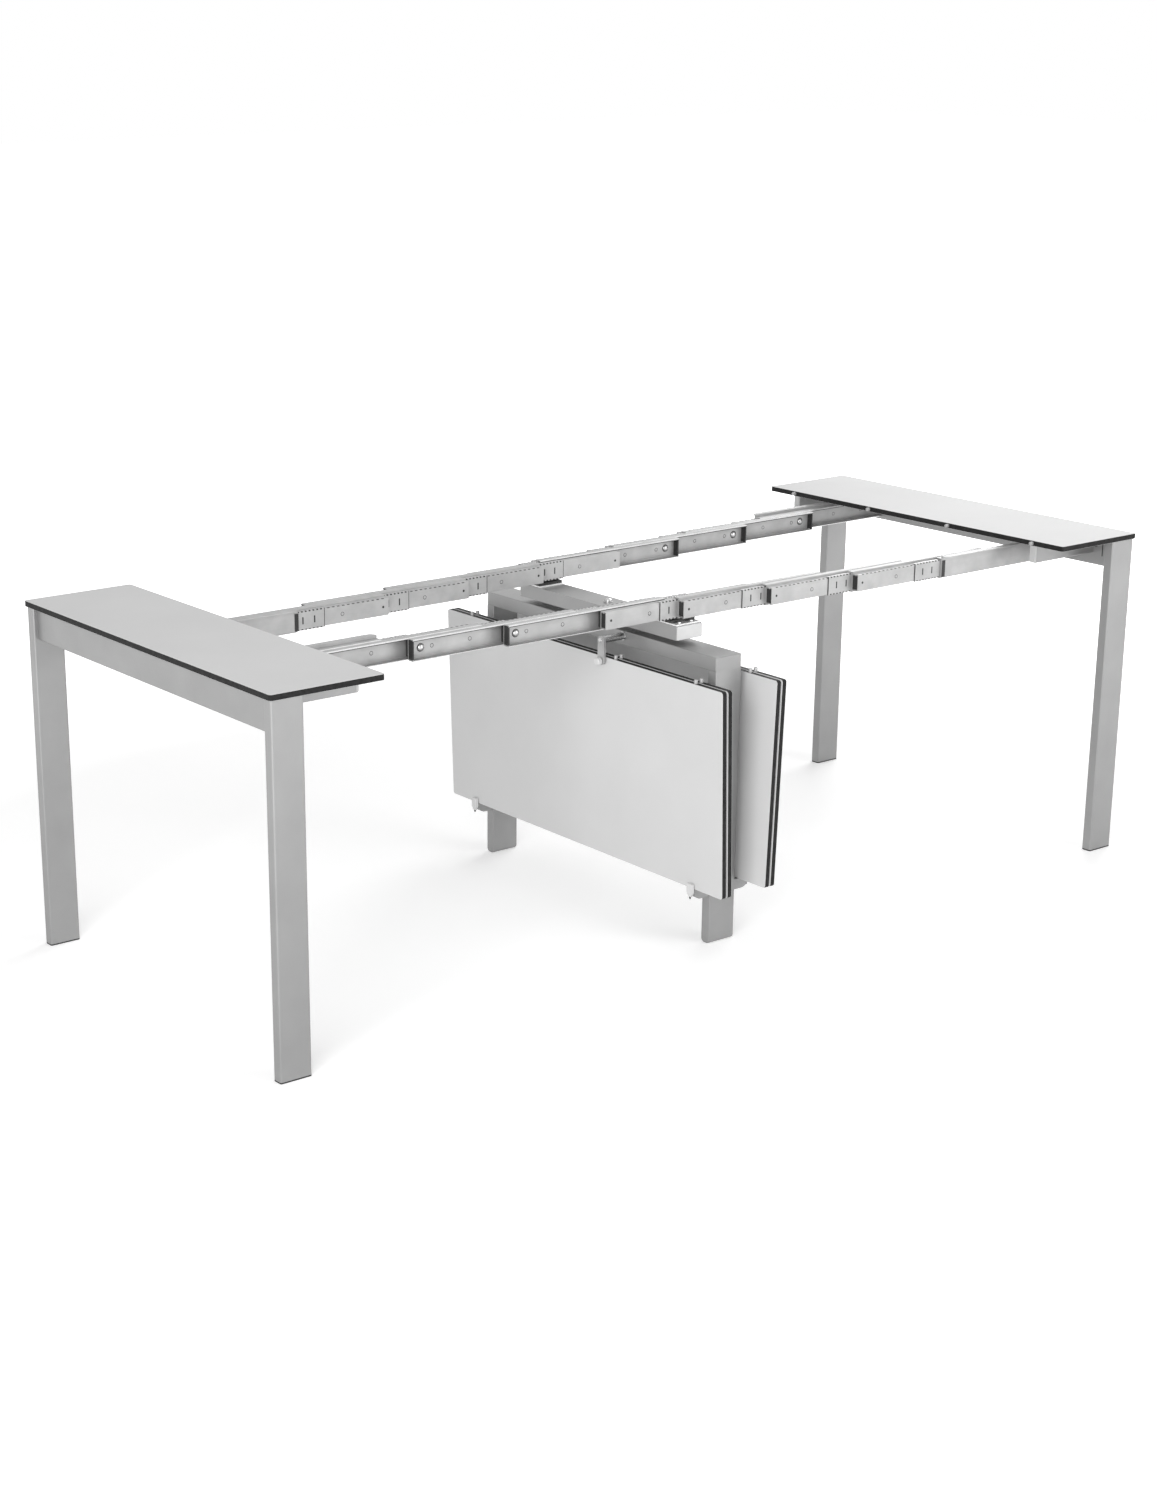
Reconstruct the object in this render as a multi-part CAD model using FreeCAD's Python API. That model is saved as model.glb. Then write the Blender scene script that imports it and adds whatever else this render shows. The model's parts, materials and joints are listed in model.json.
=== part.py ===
import FreeCAD, Part
import math
import os
from FreeCAD import Vector

os.makedirs("parts", exist_ok=True)

# Extending console table, drawn pulled right out with its leaves stored on the centre stand.
# Millimetres. +X runs along the table to the right, +Y to the back, +Z up, floor at zero.

# How finely the small round pieces are faceted, and what counts as parallel, in degrees
SMALL_SIDES = 8
ROUND_SIDES = 12
NUT_SIDES = 6
ANGLE_TOLERANCE = 0.5

# Table top
TABLE_HEIGHT = 753.0
TOP_WIDTH = 944.0
END_TOP_DEPTH = 250.0
LEAF_DEPTH = 450.0
LEAVES_PER_SIDE = 2
LEAF_SLACK = 40.0
CLOSED_GAP = 2.0
BOARD_THICKNESS = 12.0
BOARD_CORNER_EASE = 5.0

# Alignment pins in the board edges and the sockets that take them
PIN_RADIUS = 4.0
PIN_REACH = 9.0
PIN_DEPTH = 14.0
PIN_SPACING = 256.0
PINS_PER_EDGE = 4
SOCKET_CLEARANCE = 0.3

# End stands
LEG_SIDE = 70.0
LEG_THICKNESS = 25.0
LEG_WALL = 2.0
LEG_RADIUS = 4.0
LEG_INSET = 4.0
FOOT_THICKNESS = 3.0
FOOT_PLUG_HEIGHT = 16.0
FOOT_PLUG_WALL = 2.5
PLUG_CLEARANCE = 0.2
APRON_HEIGHT = 68.0
APRON_THICKNESS = 30.0
APRON_SETBACK = 10.0
APRON_WALL = 2.0
APRON_RADIUS = 3.0
ARM_WIDTH = 15.0
ARM_HEIGHT = 40.0
ARM_WALL = 1.5
ARM_EASE = 1.2
ARM_INSET = 82.0
ARM_SETBACK = 4.0
ARM_CAP_LENGTH = 5.0
ARM_CAP_PLUG = 12.0
ARM_CAP_RADIUS = 4.5
BRACKET_WIDTH = 40.0
BRACKET_HEIGHT = 46.0
BRACKET_THICKNESS = 3.0
BRACKET_EASE = 6.0
BRACKET_SLOT = 5.0
BRACKET_DROP = 6.0

# Telescopic ball-bearing rails
RAIL_DROP = 16.0
RAIL_HEIGHT = 45.0
RAIL_WALL = 1.8
RAIL_PITCH = 20.0
RAIL_LINE = 224.0
RAIL_END_CLEARANCE = 1.0
CHANNEL_EASE = 2.2
CHANNEL_INNER_EASE = 1.0
CHANNEL_LIP = 4.0
CHANNEL_MOUTH_GAP = 1.5
CAGE_WALL = 1.0
CAGE_FACE_GAP = 0.5
CAGE_EDGE_GAP = 0.6
CAGE_DEPTH = 9.0
CAGE_LENGTH = 180.0
CAGE_SETBACK = 48.5
CAGE_SLOT_WIDTH = 3.4
CAGE_SLOT_HEIGHT = 15.0
CAGE_SLOT_SPACING = 29.0
CAGE_SLOT_START = 22.0
CAGE_SLOTS = 2
RACE_DEPTH = 1.6
RACE_WIDTH = 5.0
RACE_FLOOR = 1.7
BUMP_RADIUS = 7.0
BUMP_TOP_RADIUS = 4.0
BUMP_HEIGHT = 3.0
BUMP_END_GAP = 22.0
BUMP_RUNNER_GAP = 5.0
HOLE_RADIUS = 2.2
CHANNEL_HOLE_PLACES = (57.0,)
RUNNER_HOLE_PLACES = (14.0,)
STOP_LENGTH = 3.0
STOP_CLEARANCE = 1.0
BUMPER_BACK_GAP = 2.0
BUMPER_DEPTH = 12.5
PLUG_LENGTH = 10.0
PLUG_SIDE_GAP = 0.4
CARRIER_THICKNESS = 3.0
CARRIER_FLANGE = 16.0
CARRIER_TOP_GAP = 10.0
CARRIER_RADIUS = 14.0
CENTER_WEB = 2.0
RIGHT_STAGE_SHARES = (0.2125, 0.464, 0.722)
LEFT_STAGE_SHARES = (0.2585, 0.5005, 0.747)

# Centre stand
STAND_WIDTH = 784.0
BEAM_HEIGHT = 30.0
BEAM_WALL = 2.0
STAND_FOOT_WALL = 4.0
STAND_FOOT_EASE = 2.5
BEAM_EASE = 1.2
CROSSBAR_LENGTH = 534.0
CROSSBAR_HEIGHT = 30.0
CROSSBAR_WALL = 2.0
CROSSBAR_RADIUS = 3.0
SPACER_THICKNESS = 12.0
SPACER_WIDTH = 56.0
SPACER_LENGTH = 120.0
SADDLE_THICKNESS = 3.0
SADDLE_LENGTH = 66.0
SADDLE_SCREW_SPACING = 33.0
SADDLE_INNER_LIP = 6.0
SADDLE_OUTER_LIP = 20.0
PAD_THICKNESS = 6.0
PAD_CLEARANCE = 0.3
PAD_LIP = 3.0
BOLT_RADIUS = 4.0
BOLT_HEAD_RADIUS = 7.5
BOLT_HEAD_HEIGHT = 5.5
NUT_HEIGHT = 6.5
SCREW_RADIUS = 2.4
SCREW_HEAD_RADIUS = 4.6
SCREW_HEAD_HEIGHT = 2.6
SCREW_CLEARANCE = 0.15

# Stored leaves and what holds them
LEAF_LEAN = 1.9
LEAF_GAP = 3.0
LEAF_LEG_GAP = 12.0
LEAF_HEADROOM = 38.0
LEAF_SEAT_GAP = 0.3
SUPPORT_WIDTH = 18.0
SUPPORT_ROOT_HEIGHT = 15.0
SUPPORT_TIP_HEIGHT = 6.0
HOOK_FACE_GAP = 2.0
HOOK_THICKNESS = 7.0
HOOK_RISE = 12.0
HOOK_DROP = 16.0
HOOK_TIP_WIDTH = 3.0
LATCH_OFFSET = 95.0
LATCH_ROD_RADIUS = 8.0
LATCH_FLANGE_RADIUS = 9.6
LATCH_FLANGE_THICKNESS = 2.5
LATCH_DROP = 10.0
LATCH_LEAF_GAP = 3.0
STRAP_WIDTH = 16.0
STRAP_LENGTH = 62.0
STRAP_THICKNESS = 7.0
STRAP_PLAY = 0.05
PIVOT_RADIUS = 3.0
PIVOT_CLEARANCE = 0.05
PIVOT_HEAD_RADIUS = 5.0
PIVOT_HEAD_HEIGHT = 3.0
KNOB_RADIUS = 8.5
KNOB_LENGTH = 12.0
KNOB_EDGE = 3.0

# Places that follow from the sizes above
OPEN_GAP = 2 * LEAVES_PER_SIDE * LEAF_DEPTH + LEAF_SLACK
END_TRAVEL = (OPEN_GAP - CLOSED_GAP) / 2
INNER_EDGE = OPEN_GAP / 2
OUTER_EDGE = INNER_EDGE + END_TOP_DEPTH
UNDERSIDE = TABLE_HEIGHT - BOARD_THICKNESS
LEG_OUTER_X = OUTER_EDGE - LEG_INSET
LEG_OUTER_Y = TOP_WIDTH / 2 - LEG_INSET
LEG_INNER_Y = LEG_OUTER_Y - LEG_THICKNESS
APRON_OUTER = LEG_OUTER_X - APRON_SETBACK
APRON_INNER = APRON_OUTER - APRON_THICKNESS
ARM_OUTER_Y = TOP_WIDTH / 2 - ARM_INSET
ARM_END = INNER_EDGE + ARM_SETBACK
RAIL_TOP = UNDERSIDE - RAIL_DROP
RAIL_BOTTOM = RAIL_TOP - RAIL_HEIGHT
RAIL_AXIS = (RAIL_TOP + RAIL_BOTTOM) / 2
RAIL_REACH = APRON_INNER - END_TRAVEL - RAIL_END_CLEARANCE
BUMP_PLACE = RAIL_REACH - BUMP_END_GAP - BUMP_RADIUS
RUNNER_END = BUMP_PLACE - BUMP_RADIUS - BUMP_RUNNER_GAP
FACE_GAP = CAGE_WALL + 2 * CAGE_FACE_GAP
RUNNER_DEPTH = RAIL_PITCH - FACE_GAP - RAIL_WALL
CHANNEL_DEPTH = RUNNER_DEPTH + FACE_GAP + RAIL_WALL - CHANNEL_MOUTH_GAP
CHANNEL_HALF = RAIL_HEIGHT / 2
CAGE_HALF = CHANNEL_HALF - RAIL_WALL - CAGE_EDGE_GAP
RUNNER_HALF = CAGE_HALF - CAGE_WALL - CAGE_EDGE_GAP
SADDLE_TOP = RAIL_BOTTOM - PAD_THICKNESS
CROSSBAR_TOP = SADDLE_TOP - SADDLE_THICKNESS
CROSSBAR_BOTTOM = CROSSBAR_TOP - CROSSBAR_HEIGHT
BEAM_TOP = CROSSBAR_BOTTOM - SPACER_THICKNESS
BEAM_BOTTOM = BEAM_TOP - BEAM_HEIGHT
STAND_LEG_Y = STAND_WIDTH / 2 - LEG_THICKNESS / 2
LATCH_AXIS = BEAM_TOP - LATCH_DROP
LEAF_REST_HEIGHT = LATCH_AXIS - LEAF_HEADROOM - LEAF_DEPTH
LEAN = math.radians(LEAF_LEAN)
STAGES = len(RIGHT_STAGE_SHARES)
MIRROR_Y = Vector(0, 1, 0)
MIRROR_X = Vector(1, 0, 0)
ORIGIN = Vector(0, 0, 0)


def box(x0, x1, y0, y1, z0, z1):
    return Part.makeBox(x1 - x0, y1 - y0, z1 - z0, Vector(x0, y0, z0))


def flat_face(points):
    return Part.Face(Part.makePolygon(points + points[:1]))


def ring(radius, center, direction, sides):
    # Corners of an outline with the given number of sides, square across an axis.
    across = Vector(direction.y, direction.z, direction.x)
    upward = direction.cross(across)
    points = []
    for count in range(sides):
        angle = (2 * count + 1) * math.pi / sides
        spoke = across * math.cos(angle) + upward * math.sin(angle)
        points.append(center + spoke * radius)
    return points


def prism(radius, length, start, direction, sides):
    return flat_face(ring(radius, start, direction, sides)).extrude(direction * length)


def frustum(radius, end_radius, length, start, direction, sides):
    low = ring(radius, start, direction, sides)
    high = ring(end_radius, start + direction * length, direction, sides)
    faces = [flat_face(low[::-1]), flat_face(high)]
    for corners in zip(low, low[1:] + low[:1], high[1:] + high[:1], high):
        faces.append(flat_face(list(corners)))
    return Part.makeSolid(Part.makeShell(faces))


def edges_along(shape, axis):
    # Every straight edge that runs along the given axis.
    chosen = []
    for edge in shape.Edges:
        run = edge.Vertexes[-1].Point - edge.Vertexes[0].Point
        if run.Length > 0 and run.normalize().cross(axis).Length < math.radians(ANGLE_TOLERANCE):
            chosen.append(edge)
    return chosen


def rounded_box(x0, x1, y0, y1, z0, z1, axis, radius):
    solid = box(x0, x1, y0, y1, z0, z1)
    return solid.makeFillet(radius, edges_along(solid, axis))


def eased_box(x0, x1, y0, y1, z0, z1, axis, ease):
    solid = box(x0, x1, y0, y1, z0, z1)
    return solid.makeChamfer(ease, edges_along(solid, axis))


def eased(corners, ease):
    # Takes each corner of an outline back along both of its sides.
    outline = []
    neighbors = zip(corners[-1:] + corners[:-1], corners, corners[1:] + corners[:1])
    for before, corner, after in neighbors:
        for other in (before, after):
            share = ease / math.dist(corner, other)
            outline.append(tuple(near + (far - near) * share for near, far in zip(corner, other)))
    return outline


def mirrored_pair(shape, normal):
    return [shape, shape.mirror(ORIGIN, normal)]


def section(corners, start, end):
    # Extrudes a closed outline of (y, z) corners along X.
    points = [Vector(start, y, z) for y, z in corners]
    return flat_face(points).extrude(Vector(end - start, 0, 0))


def turned(shape):
    # The left half of a rail is the right half turned round the rail's own line.
    copy = shape.copy()
    copy.rotate(Vector(0, RAIL_LINE, 0), Vector(0, 0, 1), 180)
    return copy


def moved(shape, x):
    copy = shape.copy()
    copy.translate(Vector(x, 0, 0))
    return copy


def placed(shape, x, is_left):
    shape = moved(shape, x)
    return turned(shape) if is_left else shape


# Boards
def pin_places():
    first = -PIN_SPACING * (PINS_PER_EDGE - 1) / 2
    return [first + PIN_SPACING * count for count in range(PINS_PER_EDGE)]


def board(depth, has_pins, has_sockets):
    # A board lying flat from x = 0 to its depth, underside at zero, pins at its x = 0 edge.
    half = TOP_WIDTH / 2
    middle = BOARD_THICKNESS / 2
    up, along = Vector(0, 0, 1), Vector(1, 0, 0)
    plate = eased_box(0, depth, -half, half, 0, BOARD_THICKNESS, up, BOARD_CORNER_EASE)
    pins = []
    for y in pin_places():
        if has_pins:
            start = Vector(-PIN_REACH, y, middle)
            pin = prism(PIN_RADIUS, PIN_REACH + PIN_DEPTH, start, along, SMALL_SIDES)
            plate = plate.cut(pin)
            pins.append(pin)
        if has_sockets:
            start = Vector(depth - PIN_DEPTH, y, middle)
            radius = PIN_RADIUS + SOCKET_CLEARANCE
            plate = plate.cut(prism(radius, PIN_DEPTH, start, along, SMALL_SIDES))
    return [plate] + pins


def end_top(is_left):
    # The right board carries the pins in its inner edge, the left one their sockets.
    solids = board(END_TOP_DEPTH, not is_left, is_left)
    for solid in solids:
        solid.translate(Vector(-OUTER_EDGE if is_left else INNER_EDGE, 0, UNDERSIDE))
    return solids


# Screws
def screw(grip, place, outward):
    # A low-headed screw whose head sits at the place and whose shank fills the grip.
    head = frustum(
        SCREW_HEAD_RADIUS, SCREW_HEAD_RADIUS - SCREW_HEAD_HEIGHT / 2, SCREW_HEAD_HEIGHT,
        place, outward, SMALL_SIDES,
    )
    shank = prism(SCREW_RADIUS, grip, place - outward * grip, outward, SMALL_SIDES)
    return head.fuse(shank)


def screw_hole(grip, start, direction):
    return prism(SCREW_RADIUS + SCREW_CLEARANCE, grip, start, direction, SMALL_SIDES)


def bolt_hole(length, height):
    radius = BOLT_RADIUS + SCREW_CLEARANCE
    return prism(radius, length, Vector(0, 0, height), Vector(0, 0, 1), ROUND_SIDES)


# End stands, drawn at the right end and mirrored for the left
def leg_tube(x0, x1, y0, y1, z0, z1):
    up, wall = Vector(0, 0, 1), LEG_WALL
    outside = rounded_box(x0, x1, y0, y1, z0, z1, up, LEG_RADIUS)
    inside = eased_box(
        x0 + wall, x1 - wall, y0 + wall, y1 - wall, z0, z1, up, LEG_RADIUS - wall
    )
    return outside.cut(inside)


def end_leg(is_front):
    x0 = LEG_OUTER_X - LEG_SIDE
    y0 = -LEG_OUTER_Y if is_front else LEG_INNER_Y
    return leg_tube(x0, LEG_OUTER_X, y0, y0 + LEG_THICKNESS, FOOT_THICKNESS, UNDERSIDE)


def end_foot(is_front):
    x0 = LEG_OUTER_X - LEG_SIDE
    y0 = -LEG_OUTER_Y if is_front else LEG_INNER_Y
    x1 = LEG_OUTER_X
    y1 = y0 + LEG_THICKNESS
    up = Vector(0, 0, 1)
    sole = rounded_box(x0, x1, y0, y1, 0, FOOT_THICKNESS, up, LEG_RADIUS)
    edge = LEG_WALL + PLUG_CLEARANCE
    top = FOOT_THICKNESS + FOOT_PLUG_HEIGHT
    plug = eased_box(
        x0 + edge, x1 - edge, y0 + edge, y1 - edge, FOOT_THICKNESS, top, up, LEG_RADIUS - LEG_WALL
    )
    edge = edge + FOOT_PLUG_WALL
    hollow = box(x0 + edge, x1 - edge, y0 + edge, y1 - edge, FOOT_THICKNESS, top)
    return sole.fuse(plug.cut(hollow)).removeSplitter()


def end_apron():
    y0, y1 = -LEG_INNER_Y, LEG_INNER_Y
    z0 = UNDERSIDE - APRON_HEIGHT
    axis = Vector(0, 1, 0)
    wall = APRON_WALL
    outside = rounded_box(APRON_INNER, APRON_OUTER, y0, y1, z0, UNDERSIDE, axis, APRON_RADIUS)
    x0, x1 = APRON_INNER + wall, APRON_OUTER - wall
    inside = eased_box(x0, x1, y0, y1, z0 + wall, UNDERSIDE - wall, axis, APRON_RADIUS - wall)
    return outside.cut(inside)


def end_arm():
    y0, y1 = ARM_OUTER_Y - ARM_WIDTH, ARM_OUTER_Y
    z0 = UNDERSIDE - ARM_HEIGHT
    x0 = ARM_END + ARM_CAP_LENGTH
    axis = Vector(1, 0, 0)
    wall = ARM_WALL
    outside = eased_box(x0, APRON_INNER, y0, y1, z0, UNDERSIDE, axis, ARM_EASE)
    inside = box(x0, APRON_INNER, y0 + wall, y1 - wall, z0 + wall, UNDERSIDE - wall)
    return outside.cut(inside)


def end_arm_cap():
    y0, y1 = ARM_OUTER_Y - ARM_WIDTH, ARM_OUTER_Y
    z0 = UNDERSIDE - ARM_HEIGHT
    x1 = ARM_END + ARM_CAP_LENGTH
    head = box(ARM_END, x1, y0, y1, z0, UNDERSIDE)
    corner = [edge for edge in head.Edges if edge.CenterOfMass.isEqual(
        Vector(ARM_END, (y0 + y1) / 2, z0), PLUG_CLEARANCE)]
    head = head.makeFillet(ARM_CAP_RADIUS, corner)
    edge = ARM_WALL + PLUG_CLEARANCE
    plug = box(x1, x1 + ARM_CAP_PLUG, y0 + edge, y1 - edge, z0 + edge, UNDERSIDE - edge)
    return head.fuse(plug)


def bracket_center():
    y = LEG_INNER_Y - BRACKET_SLOT - BRACKET_WIDTH / 2
    z = UNDERSIDE - BRACKET_DROP - BRACKET_HEIGHT / 2
    return y, z


def end_bracket():
    y, z = bracket_center()
    along = Vector(1, 0, 0)
    plate = eased_box(
        APRON_INNER - BRACKET_THICKNESS, APRON_INNER,
        y - BRACKET_WIDTH / 2, y + BRACKET_WIDTH / 2,
        z - BRACKET_HEIGHT / 2, z + BRACKET_HEIGHT / 2,
        along, BRACKET_EASE,
    )
    start = Vector(APRON_INNER - BRACKET_THICKNESS, y, z)
    return plate.cut(screw_hole(BRACKET_THICKNESS, start, along))


def end_screw():
    y, z = bracket_center()
    place = Vector(APRON_INNER - BRACKET_THICKNESS, y, z)
    return screw(BRACKET_THICKNESS, place, Vector(-1, 0, 0))


# Rails, drawn shut on the back rail's right half
def channel(line):
    # Rolled channel with its back on the given line, its mouth inwards and its lips turned in.
    # The bump pressed into its back near the outer end stops the runner.
    mouth = line - CHANNEL_DEPTH
    outer = [
        (mouth, -CHANNEL_HALF), (line, -CHANNEL_HALF), (line, CHANNEL_HALF), (mouth, CHANNEL_HALF),
    ]
    solid = section(eased(outer, CHANNEL_EASE), -RAIL_REACH, RAIL_REACH)
    inside = CHANNEL_HALF - RAIL_WALL
    lip = CHANNEL_HALF - CHANNEL_LIP
    back, front = line - RAIL_WALL, mouth + RAIL_WALL
    inner = [(front, -inside), (back, -inside), (back, inside), (front, inside)]
    hollow = section(eased(inner, CHANNEL_INNER_EASE), -RAIL_REACH, RAIL_REACH)
    gap = [(mouth, -lip), (back, -lip), (back, lip), (mouth, lip)]
    opening = section(gap, -RAIL_REACH, RAIL_REACH)
    inward = Vector(0, -1, 0)
    bump = frustum(
        BUMP_RADIUS, BUMP_TOP_RADIUS, BUMP_HEIGHT, Vector(BUMP_PLACE, back, 0), inward, SMALL_SIDES
    )
    solid = solid.cut(hollow.fuse(opening)).fuse(bump)
    for place in CHANNEL_HOLE_PLACES:
        start = Vector(RAIL_REACH - place, line, 0)
        solid = solid.cut(prism(HOLE_RADIUS, RAIL_WALL, start, inward, SMALL_SIDES))
    solid.translate(Vector(0, 0, RAIL_AXIS))
    return solid


def runner(line, setback):
    # Inner profile with its closed face outwards and a ball groove rolled into each edge.
    # Its open back stands off the given line by the setback.
    back, face = line + setback, line + RUNNER_DEPTH
    groove = face - RUNNER_DEPTH / 2
    top, low = RUNNER_HALF, RUNNER_HALF - RACE_DEPTH
    wall = RAIL_WALL
    outer = [
        (back, top), (groove - RACE_WIDTH / 2, top), (groove - RACE_FLOOR / 2, low),
        (groove + RACE_FLOOR / 2, low), (groove + RACE_WIDTH / 2, top), (face, top),
    ]
    inner = [
        (face - wall, top - wall), (groove + RACE_WIDTH / 2, top - wall),
        (groove + RACE_FLOOR / 2, low - wall), (groove - RACE_FLOOR / 2, low - wall),
        (groove - RACE_WIDTH / 2, top - wall), (back, top - wall),
    ]
    lower_outer = [(y, -z) for y, z in reversed(outer)]
    lower_inner = [(y, -z) for y, z in reversed(inner)]
    outline = outer + lower_outer + lower_inner + inner
    solid = section(outline, -RAIL_REACH, RUNNER_END)
    for place in RUNNER_HOLE_PLACES:
        start = Vector(place - RAIL_REACH, face, 0)
        solid = solid.cut(prism(HOLE_RADIUS, wall, start, Vector(0, -1, 0), SMALL_SIDES))
    solid.translate(Vector(0, 0, RAIL_AXIS))
    return solid


def cage(line):
    # Ball retainer in the channel on the given line, round the runner inside it.
    start = CAGE_SETBACK - RAIL_REACH
    end = start + CAGE_LENGTH
    face = line - RAIL_WALL - CAGE_FACE_GAP
    edge = face - CAGE_DEPTH
    solid = box(start, end, edge, face, -CAGE_HALF, CAGE_HALF)
    inside = CAGE_HALF - CAGE_WALL
    solid = solid.cut(box(start, end, edge, face - CAGE_WALL, -inside, inside))
    for count in range(CAGE_SLOTS):
        x0 = start + CAGE_SLOT_START + CAGE_SLOT_SPACING * count
        half = CAGE_SLOT_HEIGHT / 2
        solid = solid.cut(box(x0, x0 + CAGE_SLOT_WIDTH, face - CAGE_WALL, face, -half, half))
    solid.translate(Vector(0, 0, RAIL_AXIS))
    return solid


def channel_stop(line):
    # Thin block that closes the channel's outer end.
    half = CHANNEL_HALF - RAIL_WALL - CHANNEL_INNER_EASE
    front = line - CHANNEL_DEPTH + RAIL_WALL + PLUG_SIDE_GAP
    solid = box(RAIL_REACH - STOP_LENGTH, RAIL_REACH, front, line - RAIL_WALL, -half, half)
    solid.translate(Vector(0, 0, RAIL_AXIS))
    return solid


def runner_bumper(line):
    # Block plugged into the runner's outer end.
    low = RUNNER_HALF - RACE_DEPTH
    inside = low - RAIL_WALL - PLUG_SIDE_GAP
    back, face = line + BUMPER_BACK_GAP, line + BUMPER_DEPTH
    end = RAIL_REACH - STOP_LENGTH - STOP_CLEARANCE
    head = box(RUNNER_END, end, back, face, -low, low)
    plug = box(RUNNER_END - PLUG_LENGTH, RUNNER_END, back, face, -inside, inside)
    solid = head.fuse(plug)
    solid.translate(Vector(0, 0, RAIL_AXIS))
    return solid


def runner_plug(line, setback):
    # Plug in the runner's inner end.
    half = RUNNER_HALF - RACE_DEPTH - RAIL_WALL - PLUG_SIDE_GAP
    back, face = line + setback + PLUG_SIDE_GAP, line + RUNNER_DEPTH - RAIL_WALL
    solid = box(-RAIL_REACH, PLUG_LENGTH - RAIL_REACH, back, face, -half, half)
    solid.translate(Vector(0, 0, RAIL_AXIS))
    return solid


def center_web():
    # Strip between the two fixed runners, with a tongue that stands on the saddle.
    y0, y1 = RAIL_LINE - CENTER_WEB / 2, RAIL_LINE + CENTER_WEB / 2
    bottom, top = RAIL_AXIS - RUNNER_HALF, RAIL_AXIS + RUNNER_HALF
    strip = box(-RAIL_REACH, RAIL_REACH, y0, y1, bottom, top)
    half = SADDLE_LENGTH / 2
    return strip.fuse(box(-half, half, y0, y1, SADDLE_TOP, top)).removeSplitter()


def stage_line(stage):
    return RAIL_LINE + RAIL_PITCH * stage


def stage_travel(stage, is_left):
    # How far a stage stands out, from the fixed one, which stays, to the end, which goes all the way.
    shares = LEFT_STAGE_SHARES if is_left else RIGHT_STAGE_SHARES
    if stage == 0:
        return 0
    return END_TRAVEL if stage > STAGES else shares[stage - 1] * END_TRAVEL


def stage_rails(stage, is_left):
    travel = stage_travel(stage, is_left)
    profiles = [channel(stage_line(stage))]
    if stage <= STAGES:
        profiles.append(runner(stage_line(stage), 0))
    solids = []
    for profile in profiles:
        solids += mirrored_pair(placed(profile, travel, is_left), MIRROR_Y)
    return solids


def stage_cages(stage, is_left):
    travel = (stage_travel(stage - 1, is_left) + stage_travel(stage, is_left)) / 2
    return mirrored_pair(placed(cage(stage_line(stage)), travel, is_left), MIRROR_Y)


def stage_stops(stage, is_left):
    travel = stage_travel(stage, is_left)
    line = stage_line(stage)
    solids = []
    for piece in (channel_stop(line), runner_bumper(line), runner_plug(line, 0)):
        solids += mirrored_pair(placed(piece, travel, is_left), MIRROR_Y)
    return solids


def center_rails():
    solids = mirrored_pair(center_web(), MIRROR_Y)
    for is_left in (False, True):
        profile = runner(RAIL_LINE, CENTER_WEB / 2)
        solids += mirrored_pair(placed(profile, 0, is_left), MIRROR_Y)
    return solids


def center_stops():
    # Bumpers and plugs in the fixed runners' ends, and the pads under the rails.
    solids = []
    for is_left in (False, True):
        for piece in (runner_bumper(RAIL_LINE), runner_plug(RAIL_LINE, CENTER_WEB / 2)):
            solids += mirrored_pair(placed(piece, 0, is_left), MIRROR_Y)
    half = SADDLE_LENGTH / 2
    reach = CHANNEL_DEPTH + PAD_LIP
    top = RAIL_BOTTOM - PAD_CLEARANCE
    pad = box(-half, half, RAIL_LINE - reach, RAIL_LINE + reach, SADDLE_TOP, top)
    return solids + mirrored_pair(pad.cut(center_web()), MIRROR_Y)


def rail_carrier(is_left):
    # Angle that ties the outermost channel to the apron, its free corner rounded off.
    line = stage_line(STAGES + 1)
    start = END_TRAVEL - RAIL_REACH
    top = UNDERSIDE - CARRIER_TOP_GAP
    bottom = RAIL_AXIS - RUNNER_HALF
    web = box(start, APRON_INNER, line, line + CARRIER_THICKNESS, bottom, top)
    flange = box(
        start, APRON_INNER, line, line + CARRIER_FLANGE, top - CARRIER_THICKNESS, top
    )
    corner = [edge for edge in flange.Edges if edge.CenterOfMass.isEqual(
        Vector(start, line + CARRIER_FLANGE, top - CARRIER_THICKNESS / 2), PLUG_CLEARANCE)]
    flange = flange.makeFillet(CARRIER_RADIUS, corner)
    solid = web.fuse(flange).removeSplitter()
    return turned(solid) if is_left else solid


# Centre stand
def stand_leg(is_front):
    # Tube with a closed foot, eased all round where it meets the floor.
    middle = -STAND_LEG_Y if is_front else STAND_LEG_Y
    half = LEG_THICKNESS / 2
    side = LEG_SIDE / 2
    up, wall = Vector(0, 0, 1), LEG_WALL
    solid = rounded_box(-side, side, middle - half, middle + half, 0, BEAM_BOTTOM, up, LEG_RADIUS)
    rim = [edge for edge in solid.Edges if edge.BoundBox.ZMax < LEG_WALL]
    solid = solid.makeChamfer(STAND_FOOT_EASE, rim)
    hollow = eased_box(
        wall - side, side - wall, middle - half + wall, middle + half - wall,
        STAND_FOOT_WALL, BEAM_BOTTOM, up, LEG_RADIUS - wall,
    )
    return solid.cut(hollow)


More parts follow.
